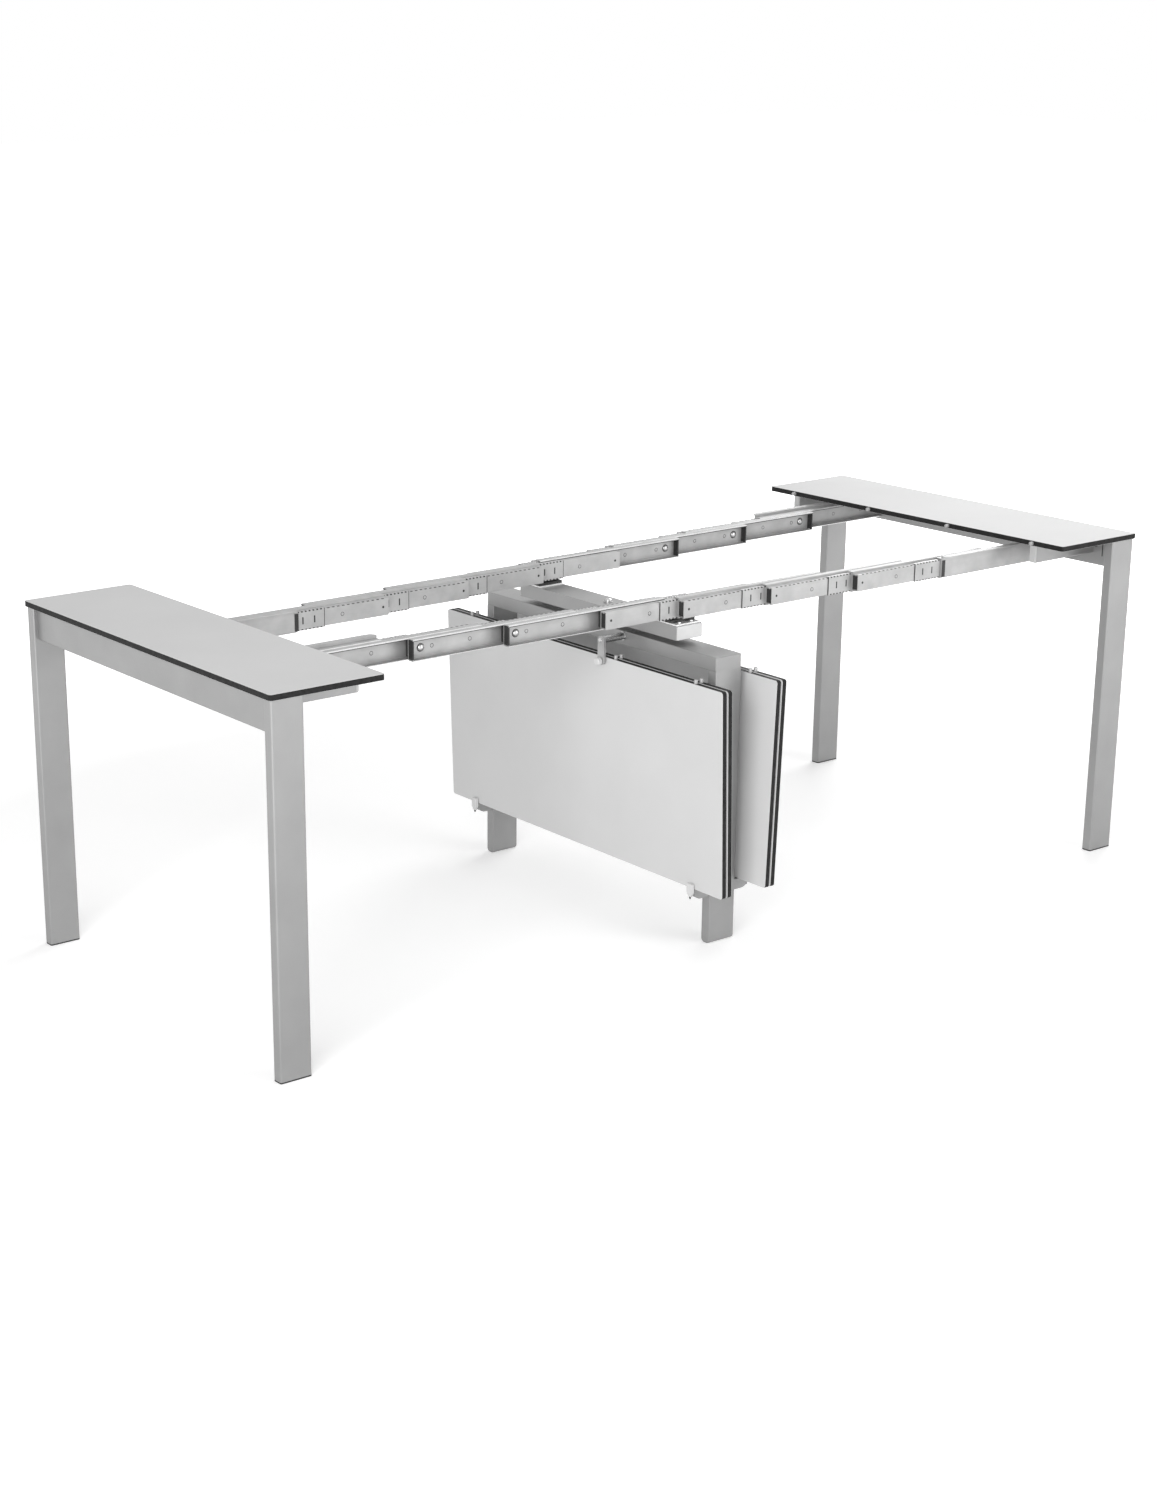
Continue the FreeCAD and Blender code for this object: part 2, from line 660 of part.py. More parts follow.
def stand_beam():
    # Closed tube across the two legs, open only where each leg joins it.
    side = LEG_SIDE / 2
    half = STAND_WIDTH / 2
    up, wall = Vector(0, 0, 1), BEAM_WALL
    solid = rounded_box(-side, side, -half, half, BEAM_BOTTOM, BEAM_TOP, up, LEG_RADIUS)
    rim = [edge for edge in solid.Edges if edge.BoundBox.ZMin > BEAM_TOP - wall]
    solid = solid.makeChamfer(BEAM_EASE, rim)
    hollow = eased_box(
        wall - side, side - wall, wall - half, half - wall, BEAM_BOTTOM + wall, BEAM_TOP - wall,
        up, LEG_RADIUS - wall,
    )
    solid = solid.cut(hollow)
    inner = LEG_THICKNESS / 2 - LEG_WALL
    for middle in (-STAND_LEG_Y, STAND_LEG_Y):
        mouth = eased_box(
            LEG_WALL - side, side - LEG_WALL, middle - inner, middle + inner,
            BEAM_BOTTOM, BEAM_BOTTOM + wall, up, LEG_RADIUS - LEG_WALL,
        )
        solid = solid.cut(mouth)
    for height in (BEAM_BOTTOM, BEAM_TOP - wall):
        solid = solid.cut(bolt_hole(wall, height))
    return solid


def stand_crossbar():
    # Pressed channel, open underneath, that carries the rails.
    side = LEG_SIDE / 2
    half = CROSSBAR_LENGTH / 2
    up, wall = Vector(0, 0, 1), CROSSBAR_WALL
    solid = rounded_box(-side, side, -half, half, CROSSBAR_BOTTOM, CROSSBAR_TOP, up, CROSSBAR_RADIUS)
    hollow = eased_box(
        wall - side, side - wall, wall - half, half - wall, CROSSBAR_BOTTOM, CROSSBAR_TOP - wall,
        up, CROSSBAR_RADIUS - wall,
    )
    return solid.cut(hollow).cut(bolt_hole(wall, CROSSBAR_TOP - wall))


def saddle_screw_places():
    y = RAIL_LINE + CHANNEL_DEPTH + SADDLE_OUTER_LIP / 2
    x = SADDLE_SCREW_SPACING / 2
    return [Vector(-x, y, SADDLE_TOP), Vector(x, y, SADDLE_TOP)]


def rail_saddle():
    half = SADDLE_LENGTH / 2
    inner = RAIL_LINE - CHANNEL_DEPTH - SADDLE_INNER_LIP
    outer = RAIL_LINE + CHANNEL_DEPTH + SADDLE_OUTER_LIP
    solid = box(-half, half, inner, outer, CROSSBAR_TOP, SADDLE_TOP)
    for place in saddle_screw_places():
        start = place - Vector(0, 0, SADDLE_THICKNESS)
        solid = solid.cut(screw_hole(SADDLE_THICKNESS, start, Vector(0, 0, 1)))
    return solid


def crossbar_fixing():
    # Spacer, centre bolt with its nut, and the saddle screws.
    half_x, half_y = SPACER_WIDTH / 2, SPACER_LENGTH / 2
    up = Vector(0, 0, 1)
    inside = CROSSBAR_TOP - CROSSBAR_WALL
    spacer = eased_box(-half_x, half_x, -half_y, half_y, BEAM_TOP, inside, up, CROSSBAR_RADIUS)
    spacer = spacer.cut(bolt_hole(inside - BEAM_TOP, BEAM_TOP))
    under, over = Vector(0, 0, BEAM_BOTTOM), Vector(0, 0, CROSSBAR_TOP)
    shank = prism(BOLT_RADIUS, CROSSBAR_TOP - BEAM_BOTTOM, under, up, ROUND_SIDES)
    head = frustum(
        BOLT_HEAD_RADIUS, BOLT_HEAD_RADIUS - BOLT_HEAD_HEIGHT / 2, BOLT_HEAD_HEIGHT, over, up, ROUND_SIDES
    )
    nut = prism(BOLT_HEAD_RADIUS, NUT_HEIGHT, under - up * NUT_HEIGHT, up, NUT_SIDES)
    solids = [spacer, shank.fuse([head, nut]).removeSplitter()]
    for place in saddle_screw_places():
        solids += mirrored_pair(screw(SADDLE_THICKNESS, place, up), MIRROR_Y)
    return solids


# Leaf store, drawn on the right of the stand and mirrored for the left
def leaf_inner_foot():
    # Lower edge of the inner leaf's face that looks at the leg.
    return LEG_SIDE / 2 + LEAF_LEG_GAP


def leaf_outer_face(height):
    # Where the outer leaf's outer face stands at a height above the floor.
    across = (2 * BOARD_THICKNESS + LEAF_GAP) / math.cos(LEAN)
    return leaf_inner_foot() + across + (height - LEAF_REST_HEIGHT) * math.tan(LEAN)


def stored_leaf(order, is_left):
    # Stands a flat board on its socket edge, pins up, and leans it outwards at the top.
    solids = board(LEAF_DEPTH, True, True)
    offset = order * (BOARD_THICKNESS + LEAF_GAP)
    foot = Vector(leaf_inner_foot(), 0, LEAF_REST_HEIGHT)
    lift = (offset + BOARD_THICKNESS) * math.sin(LEAN)
    placed_solids = []
    for solid in solids:
        solid.translate(Vector(-LEAF_DEPTH, 0, offset))
        solid.rotate(ORIGIN, Vector(0, 1, 0), 90 + LEAF_LEAN)
        solid.translate(foot + Vector(0, 0, lift))
        placed_solids.append(solid.mirror(ORIGIN, MIRROR_X) if is_left else solid)
    return placed_solids


def hook_face():
    return leaf_outer_face(LEAF_REST_HEIGHT + HOOK_RISE) + HOOK_FACE_GAP


def leaf_support(y):
    # Tapered bar from the stand's leg, under the pair of leaves.
    top = LEAF_REST_HEIGHT - LEAF_SEAT_GAP
    root = LEG_SIDE / 2
    tip = hook_face()
    half = SUPPORT_WIDTH / 2
    points = [
        Vector(root, y - half, top), Vector(tip, y - half, top),
        Vector(tip, y - half, top - SUPPORT_TIP_HEIGHT), Vector(root, y - half, top - SUPPORT_ROOT_HEIGHT),
    ]
    return flat_face(points).extrude(Vector(0, SUPPORT_WIDTH, 0))


def leaf_hook(y):
    # Upright stop on the bar's end, with a pointed tip below.
    top = LEAF_REST_HEIGHT + HOOK_RISE
    bottom = LEAF_REST_HEIGHT - LEAF_SEAT_GAP - SUPPORT_TIP_HEIGHT
    face = hook_face()
    half = SUPPORT_WIDTH / 2
    outline = [
        (face, top), (face + HOOK_THICKNESS, top), (face + HOOK_THICKNESS, bottom),
        (face + HOOK_TIP_WIDTH, bottom - HOOK_DROP / 2), (face, bottom),
    ]
    points = [Vector(x, y - half, z) for x, z in outline]
    return flat_face(points).extrude(Vector(0, SUPPORT_WIDTH, 0))


def latch_face():
    # Inner face of the latch strap, clear of the outer leaf.
    return leaf_outer_face(LEAF_REST_HEIGHT + LEAF_DEPTH) + LATCH_LEAF_GAP


def latch_rod():
    # Rod from the beam with a pivot screw at its end.
    out = Vector(1, 0, 0)
    root = Vector(LEG_SIDE / 2, LATCH_OFFSET, LATCH_AXIS)
    end = latch_face() - STRAP_PLAY
    tip = Vector(end, LATCH_OFFSET, LATCH_AXIS)
    rod = prism(LATCH_ROD_RADIUS, end - root.x, root, out, ROUND_SIDES)
    flange = prism(LATCH_FLANGE_RADIUS, LATCH_FLANGE_THICKNESS, root, out, ROUND_SIDES)
    grip = STRAP_THICKNESS + 2 * STRAP_PLAY
    pivot = prism(PIVOT_RADIUS, grip, tip, out, ROUND_SIDES)
    head = frustum(
        PIVOT_HEAD_RADIUS, PIVOT_HEAD_RADIUS - PIVOT_HEAD_HEIGHT / 2, PIVOT_HEAD_HEIGHT,
        tip + out * grip, out, ROUND_SIDES,
    )
    return rod.fuse([flange, pivot, head]).removeSplitter()


def latch_strap():
    # Strap that hangs over the leaves' top edge, and the bumper on its lower end.
    out = Vector(1, 0, 0)
    face = latch_face()
    half = STRAP_WIDTH / 2
    top = Vector(face, LATCH_OFFSET, LATCH_AXIS)
    low = top - Vector(0, 0, STRAP_LENGTH - STRAP_WIDTH)
    bar = box(face, face + STRAP_THICKNESS, LATCH_OFFSET - half, LATCH_OFFSET + half, low.z, top.z)
    to_flat = math.cos(math.pi / ROUND_SIDES)
    ends = [prism(half / to_flat, STRAP_THICKNESS, place, out, ROUND_SIDES) for place in (top, low)]
    strap = bar.fuse(ends).removeSplitter()
    # The hole's flats clear the pivot's corners, so the strap can turn.
    hole_radius = (PIVOT_RADIUS + PIVOT_CLEARANCE) / to_flat
    strap = strap.cut(prism(hole_radius, STRAP_THICKNESS, top, out, ROUND_SIDES))
    start = low + out * STRAP_THICKNESS
    shank = KNOB_LENGTH - KNOB_EDGE
    knob = prism(KNOB_RADIUS, shank, start, out, ROUND_SIDES)
    rim = frustum(KNOB_RADIUS, KNOB_RADIUS - KNOB_EDGE, KNOB_EDGE, start + out * shank, out, ROUND_SIDES)
    return [strap, knob.fuse(rim)]


# Every node of the table
def four_ways(make_piece):
    solids = []
    for y in (-STAND_LEG_Y, STAND_LEG_Y):
        solids += mirrored_pair(make_piece(y), MIRROR_X)
    return solids


def sided(solids, is_left):
    return [solid.mirror(ORIGIN, MIRROR_X) for solid in solids] if is_left else solids


def half_turn(shape):
    copy = shape.copy()
    copy.rotate(ORIGIN, Vector(0, 0, 1), 180)
    return copy


def end_nodes(side, is_left):
    return {
        side + "_top": end_top(is_left),
        side + "_front_leg": sided([end_leg(True)], is_left),
        side + "_rear_leg": sided([end_leg(False)], is_left),
        side + "_feet": sided([end_foot(True), end_foot(False)], is_left),
        side + "_apron": sided([end_apron()], is_left),
        side + "_arms": sided(mirrored_pair(end_arm(), MIRROR_Y), is_left),
        side + "_arm_caps": sided(mirrored_pair(end_arm_cap(), MIRROR_Y), is_left),
        side + "_corner_brackets": sided(mirrored_pair(end_bracket(), MIRROR_Y), is_left),
        side + "_screws": sided(mirrored_pair(end_screw(), MIRROR_Y), is_left),
        side + "_rail_carriers": mirrored_pair(rail_carrier(is_left), MIRROR_Y),
        side + "_end_rails": stage_rails(STAGES + 1, is_left),
    }


def stage_nodes(side, is_left):
    nodes = {}
    for stage in range(1, STAGES + 2):
        nodes[f"{side}_cages_{stage}"] = stage_cages(stage, is_left)
    for stage in range(1, STAGES + 1):
        nodes[f"{side}_rails_{stage}"] = stage_rails(stage, is_left)
        nodes[f"{side}_stops_{stage}"] = stage_stops(stage, is_left)
    return nodes


def store_nodes(side, is_left):
    latch = latch_strap()
    return {
        side + "_latch": [half_turn(solid) for solid in latch] if is_left else latch,
        side + "_inner_leaf": stored_leaf(0, is_left),
        side + "_outer_leaf": stored_leaf(1, is_left),
    }


def stand_nodes():
    return {
        "center_front_leg": [stand_leg(True)],
        "center_rear_leg": [stand_leg(False)],
        "center_beam": [stand_beam()],
        "crossbar": [stand_crossbar()],
        "crossbar_fixing": crossbar_fixing(),
        "rail_saddles": mirrored_pair(rail_saddle(), MIRROR_Y),
        "center_rails": center_rails(),
        "center_stops": center_stops(),
        "leaf_supports": four_ways(leaf_support),
        "leaf_hooks": four_ways(leaf_hook),
        "latch_rods": [latch_rod(), half_turn(latch_rod())],
    }


nodes = stand_nodes()
for side, is_left in (("left", True), ("right", False)):
    nodes.update(end_nodes(side, is_left))
    nodes.update(stage_nodes(side, is_left))
    nodes.update(store_nodes(side, is_left))

for name, solids in nodes.items():
    shape = solids[0] if len(solids) == 1 else Part.makeCompound(solids)
    shape.exportStep("parts/" + name + ".step")
print("nodes", len(nodes))
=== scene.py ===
import bpy
import bmesh
import json
import math
from mathutils import Matrix, Vector

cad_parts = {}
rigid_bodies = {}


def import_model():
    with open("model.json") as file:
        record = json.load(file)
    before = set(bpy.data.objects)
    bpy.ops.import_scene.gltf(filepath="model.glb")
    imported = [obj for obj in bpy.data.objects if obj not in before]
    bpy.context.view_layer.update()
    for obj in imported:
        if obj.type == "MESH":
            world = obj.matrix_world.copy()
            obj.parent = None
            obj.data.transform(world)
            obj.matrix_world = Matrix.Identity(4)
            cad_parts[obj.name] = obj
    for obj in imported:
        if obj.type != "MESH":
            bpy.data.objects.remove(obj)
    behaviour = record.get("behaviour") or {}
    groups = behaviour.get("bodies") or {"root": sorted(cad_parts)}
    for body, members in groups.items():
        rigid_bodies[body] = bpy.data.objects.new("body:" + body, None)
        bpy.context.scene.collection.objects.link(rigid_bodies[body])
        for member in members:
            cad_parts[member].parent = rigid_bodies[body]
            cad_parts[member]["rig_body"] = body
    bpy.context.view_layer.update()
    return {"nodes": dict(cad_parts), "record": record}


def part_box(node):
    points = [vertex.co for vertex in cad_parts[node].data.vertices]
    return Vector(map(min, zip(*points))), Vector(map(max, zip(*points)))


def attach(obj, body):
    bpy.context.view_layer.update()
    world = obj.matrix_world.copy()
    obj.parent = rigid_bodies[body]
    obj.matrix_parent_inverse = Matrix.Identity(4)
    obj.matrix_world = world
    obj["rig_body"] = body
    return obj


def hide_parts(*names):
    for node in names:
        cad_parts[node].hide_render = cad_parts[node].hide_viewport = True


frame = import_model()
nodes = frame["nodes"]
sides = {"left": -1, "right": 1}  # which way along X each half of the table lies
rows = {"front": -1, "back": 1}  # which way along Y each rail lies
print("frame loaded:", len(nodes), "nodes")


# ways of making a mesh

meshLook = {"straight": 0.999, "flat": 0.9, "softAngle": 0.7, "weld": 1e-6, "turnSteps": 20, "smallSteps": 14}


def boxBetween(low, high):
    bm = bmesh.new()
    bmesh.ops.create_cube(bm, size=1)
    bmesh.ops.scale(bm, vec=high - low, verts=bm.verts)
    bmesh.ops.translate(bm, vec=(low + high) / 2, verts=bm.verts)
    return bm


def between(x0, x1, y0, y1, z0, z1):
    # a box between two places along each axis, given in either order
    low = Vector((min(x0, x1), min(y0, y1), min(z0, z1)))
    high = Vector((max(x0, x1), max(y0, y1), max(z0, z1)))
    return boxBetween(low, high)


def cutAcross(bm, place, normal):
    # new edges where the plane meets the mesh, with both sides kept
    everything = bm.verts[:] + bm.edges[:] + bm.faces[:]
    bmesh.ops.bisect_plane(bm, geom=everything, plane_co=place, plane_no=normal)


def edgesAlong(bm, axis):
    chosen = []
    for edge in bm.edges:
        run = (edge.verts[1].co - edge.verts[0].co).normalized()
        if abs(run[axis]) > meshLook["straight"]:
            chosen.append(edge)
    return chosen


def roundOff(bm, edges, radius, segments):
    bmesh.ops.bevel(
        bm, geom=edges, offset=radius, offset_type="OFFSET", segments=segments,
        profile=0.5, affect="EDGES", material=-1, clamp_overlap=True,
    )


def turnedPiece(profile, start, direction, steps):
    # profile is a list of (radius, distance along the axis), spun round the axis
    bm = bmesh.new()
    corners = [bm.verts.new((radius, 0, height)) for radius, height in profile]
    for first, second in zip(corners, corners[1:]):
        bm.edges.new((first, second))
    bmesh.ops.spin(
        bm, geom=bm.verts[:] + bm.edges[:], cent=(0, 0, 0), axis=(0, 0, 1),
        angle=2 * math.pi, steps=steps, use_merge=True,
    )
    bmesh.ops.remove_doubles(bm, verts=bm.verts, dist=meshLook["weld"])
    bmesh.ops.recalc_face_normals(bm, faces=bm.faces)
    turn = Vector(direction).to_track_quat("Z", "Y").to_matrix().to_4x4()
    bmesh.ops.transform(bm, matrix=Matrix.Translation(start) @ turn, verts=bm.verts)
    return bm


def discProfile(radius, height):
    return [(0, 0), (radius, 0), (radius, height), (0, height)]


def domeProfile(radius, rise, height, count):
    # a shank of the given height that ends in a dome of the given rise
    profile = [(0, 0), (radius, 0)]
    for step in range(count + 1):
        angle = math.pi / 2 * step / count
        profile.append((radius * math.cos(angle), height + rise * math.sin(angle)))
    return profile


def addPiece(name, meshes, materials, body, replaced=(), smooth=False):
    mesh = bpy.data.meshes.new(name)
    whole = bmesh.new()
    for bm in meshes:
        part = bpy.data.meshes.new("part")
        bm.to_mesh(part)
        bm.free()
        whole.from_mesh(part)
        bpy.data.meshes.remove(part)
    if smooth:
        for face in whole.faces:
            face.smooth = True
        for edge in whole.edges:
            edge.smooth = not edge.is_manifold or edge.calc_face_angle() < meshLook["softAngle"]
    whole.to_mesh(mesh)
    whole.free()
    piece = bpy.data.objects.new(name, mesh)
    bpy.context.scene.collection.objects.link(piece)
    for material in materials:
        mesh.materials.append(material)
    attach(piece, body)
    if replaced:
        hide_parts(*replaced)
    return piece


def bodyOf(node):
    return nodes[node]["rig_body"]


def pieceName(node):
    first, *others = node.split("_")
    return first + "".join(word.capitalize() for word in others)


# finishes

noiseLook = {
    "mottleDetail": 3, "grainDetail": 2, "lineDetail": 3, "lineStretch": (0.02, 1, 1),
    "low": 0.3, "high": 0.7,
}
mixSockets = {"dark": 6, "light": 7, "result": 2}  # where a Mix node keeps its colours


def startGroup(name, scales, results):
    group = bpy.data.node_groups.new(name, "ShaderNodeTree")
    for scale in scales:
        group.interface.new_socket(scale, in_out="INPUT", socket_type="NodeSocketFloat")
    for result in results:
        group.interface.new_socket(result, in_out="OUTPUT", socket_type="NodeSocketFloat")
    entry = group.nodes.new("NodeGroupInput")
    leave = group.nodes.new("NodeGroupOutput")
    return group, entry, leave


def spreadNoise(group, vector, scale, detail, result):
    # noise whose middle range is spread from 0 to 1
    noise = group.nodes.new("ShaderNodeTexNoise")
    noise.inputs["Detail"].default_value = detail
    spread = group.nodes.new("ShaderNodeMapRange")
    spread.inputs["From Min"].default_value = noiseLook["low"]
    spread.inputs["From Max"].default_value = noiseLook["high"]
    group.links.new(vector, noise.inputs["Vector"])
    group.links.new(scale, noise.inputs["Scale"])
    group.links.new(noise.outputs["Fac"], spread.inputs["Value"])
    group.links.new(spread.outputs["Result"], result)


def makeMottleGroup():
    # slow mottle and fine grain
    group, entry, leave = startGroup("mottleAndGrain", ("Mottle Scale", "Grain Scale"), ("Mottle", "Grain"))
    place = group.nodes.new("ShaderNodeTexCoord")
    for name in ("Mottle", "Grain"):
        scale, detail = entry.outputs[name + " Scale"], noiseLook[name.lower() + "Detail"]
        spreadNoise(group, place.outputs["Object"], scale, detail, leave.inputs[name])
    return group


def makeDrawnGroup():
    # fine lines that run along X, as on cold-rolled strip
    group, entry, leave = startGroup("drawnLines", ("Scale",), ("Lines",))
    place = group.nodes.new("ShaderNodeTexCoord")
    stretch = group.nodes.new("ShaderNodeMapping")
    stretch.inputs["Scale"].default_value = noiseLook["lineStretch"]
    group.links.new(place.outputs["Object"], stretch.inputs["Vector"])
    detail = noiseLook["lineDetail"]
    spreadNoise(group, stretch.outputs["Vector"], entry.outputs["Scale"], detail, leave.inputs["Lines"])
    return group


mottleGroup = makeMottleGroup()
drawnGroup = makeDrawnGroup()


def grey(level):
    return (level, level, level, 1)


def makeFinish(name, look):
    material = bpy.data.materials.new(name)
    material.use_nodes = True
    tree = material.node_tree
    shader = tree.nodes["Principled BSDF"]
    shader.inputs["Metallic"].default_value = look["metallic"]
    shader.inputs["Specular IOR Level"].default_value = look["specular"]
    pattern = tree.nodes.new("ShaderNodeGroup")
    pattern.node_tree = mottleGroup
    pattern.inputs["Mottle Scale"].default_value = look["mottleScale"]
    pattern.inputs["Grain Scale"].default_value = look["grainScale"]
    shade = tree.nodes.new("ShaderNodeMix")
    shade.data_type = "RGBA"
    shade.inputs[mixSockets["dark"]].default_value = look["dark"]
    shade.inputs[mixSockets["light"]].default_value = look["light"]
    sheenFrom = pattern.outputs["Grain"]
    if "lineScale" in look:
        lines = tree.nodes.new("ShaderNodeGroup")
        lines.node_tree = drawnGroup
        lines.inputs["Scale"].default_value = look["lineScale"]
        sheenFrom = lines.outputs["Lines"]
    sheen = tree.nodes.new("ShaderNodeMapRange")
    sheen.inputs["To Min"].default_value = look["smoothest"]
    sheen.inputs["To Max"].default_value = look["roughest"]
    bump = tree.nodes.new("ShaderNodeBump")
    bump.inputs["Strength"].default_value = look["bump"]
    bump.inputs["Distance"].default_value = look["bumpDepth"]
    tree.links.new(pattern.outputs["Mottle"], shade.inputs["Factor"])
    tree.links.new(shade.outputs[mixSockets["result"]], shader.inputs["Base Color"])
    tree.links.new(sheenFrom, sheen.inputs["Value"])
    tree.links.new(sheen.outputs["Result"], shader.inputs["Roughness"])
    tree.links.new(sheenFrom, bump.inputs["Height"])
    tree.links.new(bump.outputs["Normal"], shader.inputs["Normal"])
    return material


satinPaint = makeFinish("satinPaint", {
    "dark": grey(0.30), "light": grey(0.33), "metallic": 0.6, "specular": 0.4,
    "smoothest": 0.36, "roughest": 0.48, "mottleScale": 9, "grainScale": 900,
    "bump": 0.12, "bumpDepth": 0.0002,
})
zincStrip = makeFinish("zincStrip", {
    "dark": grey(0.40), "light": grey(0.47), "metallic": 0.45, "specular": 0.3,
    "smoothest": 0.42, "roughest": 0.58, "mottleScale": 30, "grainScale": 700,
    "lineScale": 900, "bump": 0.15, "bumpDepth": 0.0002,
})
brightSteel = makeFinish("brightSteel", {
    "dark": grey(0.46), "light": grey(0.56), "metallic": 0.9, "specular": 0.5,
    "smoothest": 0.2, "roughest": 0.34, "mottleScale": 60, "grainScale": 900,
    "bump": 0.08, "bumpDepth": 0.0001,
})
# pale steel for the rail saddles, and painted highlights on the rails' rolled edges
rolledEdge = makeFinish("rolledEdge", {
    "dark": grey(0.74), "light": grey(0.84), "metallic": 0.6, "specular": 0.5,
    "smoothest": 0.22, "roughest": 0.36, "mottleScale": 50, "grainScale": 900,
    "lineScale": 900, "bump": 0.08, "bumpDepth": 0.0001,
})
laminateSkin = makeFinish("laminateSkin", {
    "dark": grey(0.67), "light": grey(0.70), "metallic": 0, "specular": 0.12,
    "smoothest": 0.50, "roughest": 0.62, "mottleScale": 5, "grainScale": 1400,
    "bump": 0.1, "bumpDepth": 0.0001,
})
laminateCore = makeFinish("laminateCore", {
    "dark": grey(0.010), "light": grey(0.024), "metallic": 0, "specular": 0.15,
    "smoothest": 0.55, "roughest": 0.7, "mottleScale": 120, "grainScale": 1500,
    "bump": 0.2, "bumpDepth": 0.0002,
})
blackPlastic = makeFinish("blackPlastic", {
    "dark": grey(0.012), "light": grey(0.02), "metallic": 0, "specular": 0.45,
    "smoothest": 0.4, "roughest": 0.55, "mottleScale": 40, "grainScale": 1200,
    "bump": 0.15, "bumpDepth": 0.0002,
})
whitePlastic = makeFinish("whitePlastic", {
    "dark": grey(0.68), "light": grey(0.74), "metallic": 0, "specular": 0.5,
    "smoothest": 0.28, "roughest": 0.38, "mottleScale": 30, "grainScale": 1200,
    "bump": 0.06, "bumpDepth": 0.0001,
})
capPlastic = makeFinish("capPlastic", {
    "dark": grey(0.50), "light": grey(0.54), "metallic": 0, "specular": 0.3,
    "smoothest": 0.38, "roughest": 0.5, "mottleScale": 30, "grainScale": 1200,
    "bump": 0.06, "bumpDepth": 0.0001,
})
finishOfSlot = {
    "laminate": laminateSkin, "frame_paint": satinPaint, "rail_steel": zincStrip,
    "fastener_steel": brightSteel, "black_plastic": blackPlastic, "white_plastic": whitePlastic,
}
finishOfNode = {"rail_saddles": rolledEdge, "left_arm_caps": capPlastic, "right_arm_caps": capPlastic}
for subpart in frame["record"]["subparts"]:
    node = subpart["node"]
    surface = nodes[node].data
    surface.materials.clear()
    surface.materials.append(finishOfNode.get(node, finishOfSlot[subpart["material_slot"]]))


# boards: a near-black core between two pale skins

boardLook = {
    "topSkin": 0.0004, "leafSkin": 0.0007, "leafDepth": 0.450, "lean": math.radians(1.9),
    "corner": 0.006, "cornerSegments": 6, "edge": 0.0003, "edgeSegments": 1,
}
skinIndex, coreIndex = 0, 1  # order of a board's two finishes


def flatBoard(depth, width, thickness, skin):
    # lies from x = 0 to its depth, underside at z = 0
    bm = boxBetween(Vector((0, -width / 2, 0)), Vector((depth, width / 2, thickness)))
    roundOff(bm, edgesAlong(bm, 2), boardLook["corner"], boardLook["cornerSegments"])
    flats = [face for face in bm.faces if abs(face.normal.z) > meshLook["flat"]]
    rim = {edge for face in flats for edge in face.edges}
    roundOff(bm, list(rim), boardLook["edge"], boardLook["edgeSegments"])
    for height in (skin, thickness - skin):
        cutAcross(bm, (0, 0, height), (0, 0, 1))
    for face in bm.faces:
        middle = face.calc_center_median().z
        face.material_index = coreIndex if skin < middle < thickness - skin else skinIndex
    return bm


pinLook = {"radius": 0.0041, "reach": 0.009, "tip": 0.0012, "rings": 4, "spacing": 0.256, "count": 4}


def pinPlaces():
    first = -pinLook["spacing"] * (pinLook["count"] - 1) / 2
    return [first + pinLook["spacing"] * number for number in range(pinLook["count"])]


def edgePins(thickness):
    shank = pinLook["reach"] - pinLook["tip"]
    profile = domeProfile(pinLook["radius"], pinLook["tip"], shank, pinLook["rings"])
    steps = meshLook["turnSteps"]
    return [turnedPiece(profile, (0, y, thickness / 2), (-1, 0, 0), steps) for y in pinPlaces()]


socketLook = {
    "radius": 0.0050, "wall": 0.0006, "proud": 0.0002, "depth": 0.0105, "frame": 0.0054, "steps": 16,
}


def edgeSockets(depth, thickness):
    outer, proud = socketLook["radius"], socketLook["proud"]
    inner = outer - socketLook["wall"]
    profile = [(inner, 0), (outer, 0), (outer, proud), (inner, proud), (inner, 0)]
    steps = meshLook["turnSteps"]
    return [turnedPiece(profile, (depth, y, thickness / 2), (1, 0, 0), steps) for y in pinPlaces()]


def drillEdge(bm, depth, thickness):
    # a round hole for each socket in the core's end face at x = depth
    radius = socketLook["radius"] - socketLook["wall"]
    for y in pinPlaces():
        cutAcross(bm, (0, y - socketLook["frame"], 0), (0, 1, 0))
        cutAcross(bm, (0, y + socketLook["frame"], 0), (0, 1, 0))
    quarterTurn = Matrix.Rotation(math.pi / 2, 4, "Y")
    for y in pinPlaces():
        middle = Vector((depth, y, thickness / 2))
        patch = min(bm.faces, key=lambda face: (face.calc_center_median() - middle).length)
        border = patch.edges[:]
        bmesh.ops.delete(bm, geom=[patch], context="FACES_ONLY")
        place = Matrix.Translation(middle) @ quarterTurn
        circle = bmesh.ops.create_circle(bm, segments=socketLook["steps"], radius=radius, matrix=place)
        rim = list({edge for v in circle["verts"] for edge in v.link_edges})
        made = bmesh.ops.triangle_fill(bm, edges=border + rim, use_beauty=True)["geom"]
        wall = bmesh.ops.extrude_edge_only(bm, edges=rim)["geom"]
        deep = [item for item in wall if isinstance(item, bmesh.types.BMVert)]
        bmesh.ops.translate(bm, vec=(-socketLook["depth"], 0, 0), verts=deep)
        end = [item for item in wall if isinstance(item, bmesh.types.BMEdge) and set(item.verts) <= set(deep)]
        made += wall + bmesh.ops.edgeloop_fill(bm, edges=end)["faces"]
        for item in made:
            if isinstance(item, bmesh.types.BMFace):
                item.material_index = coreIndex


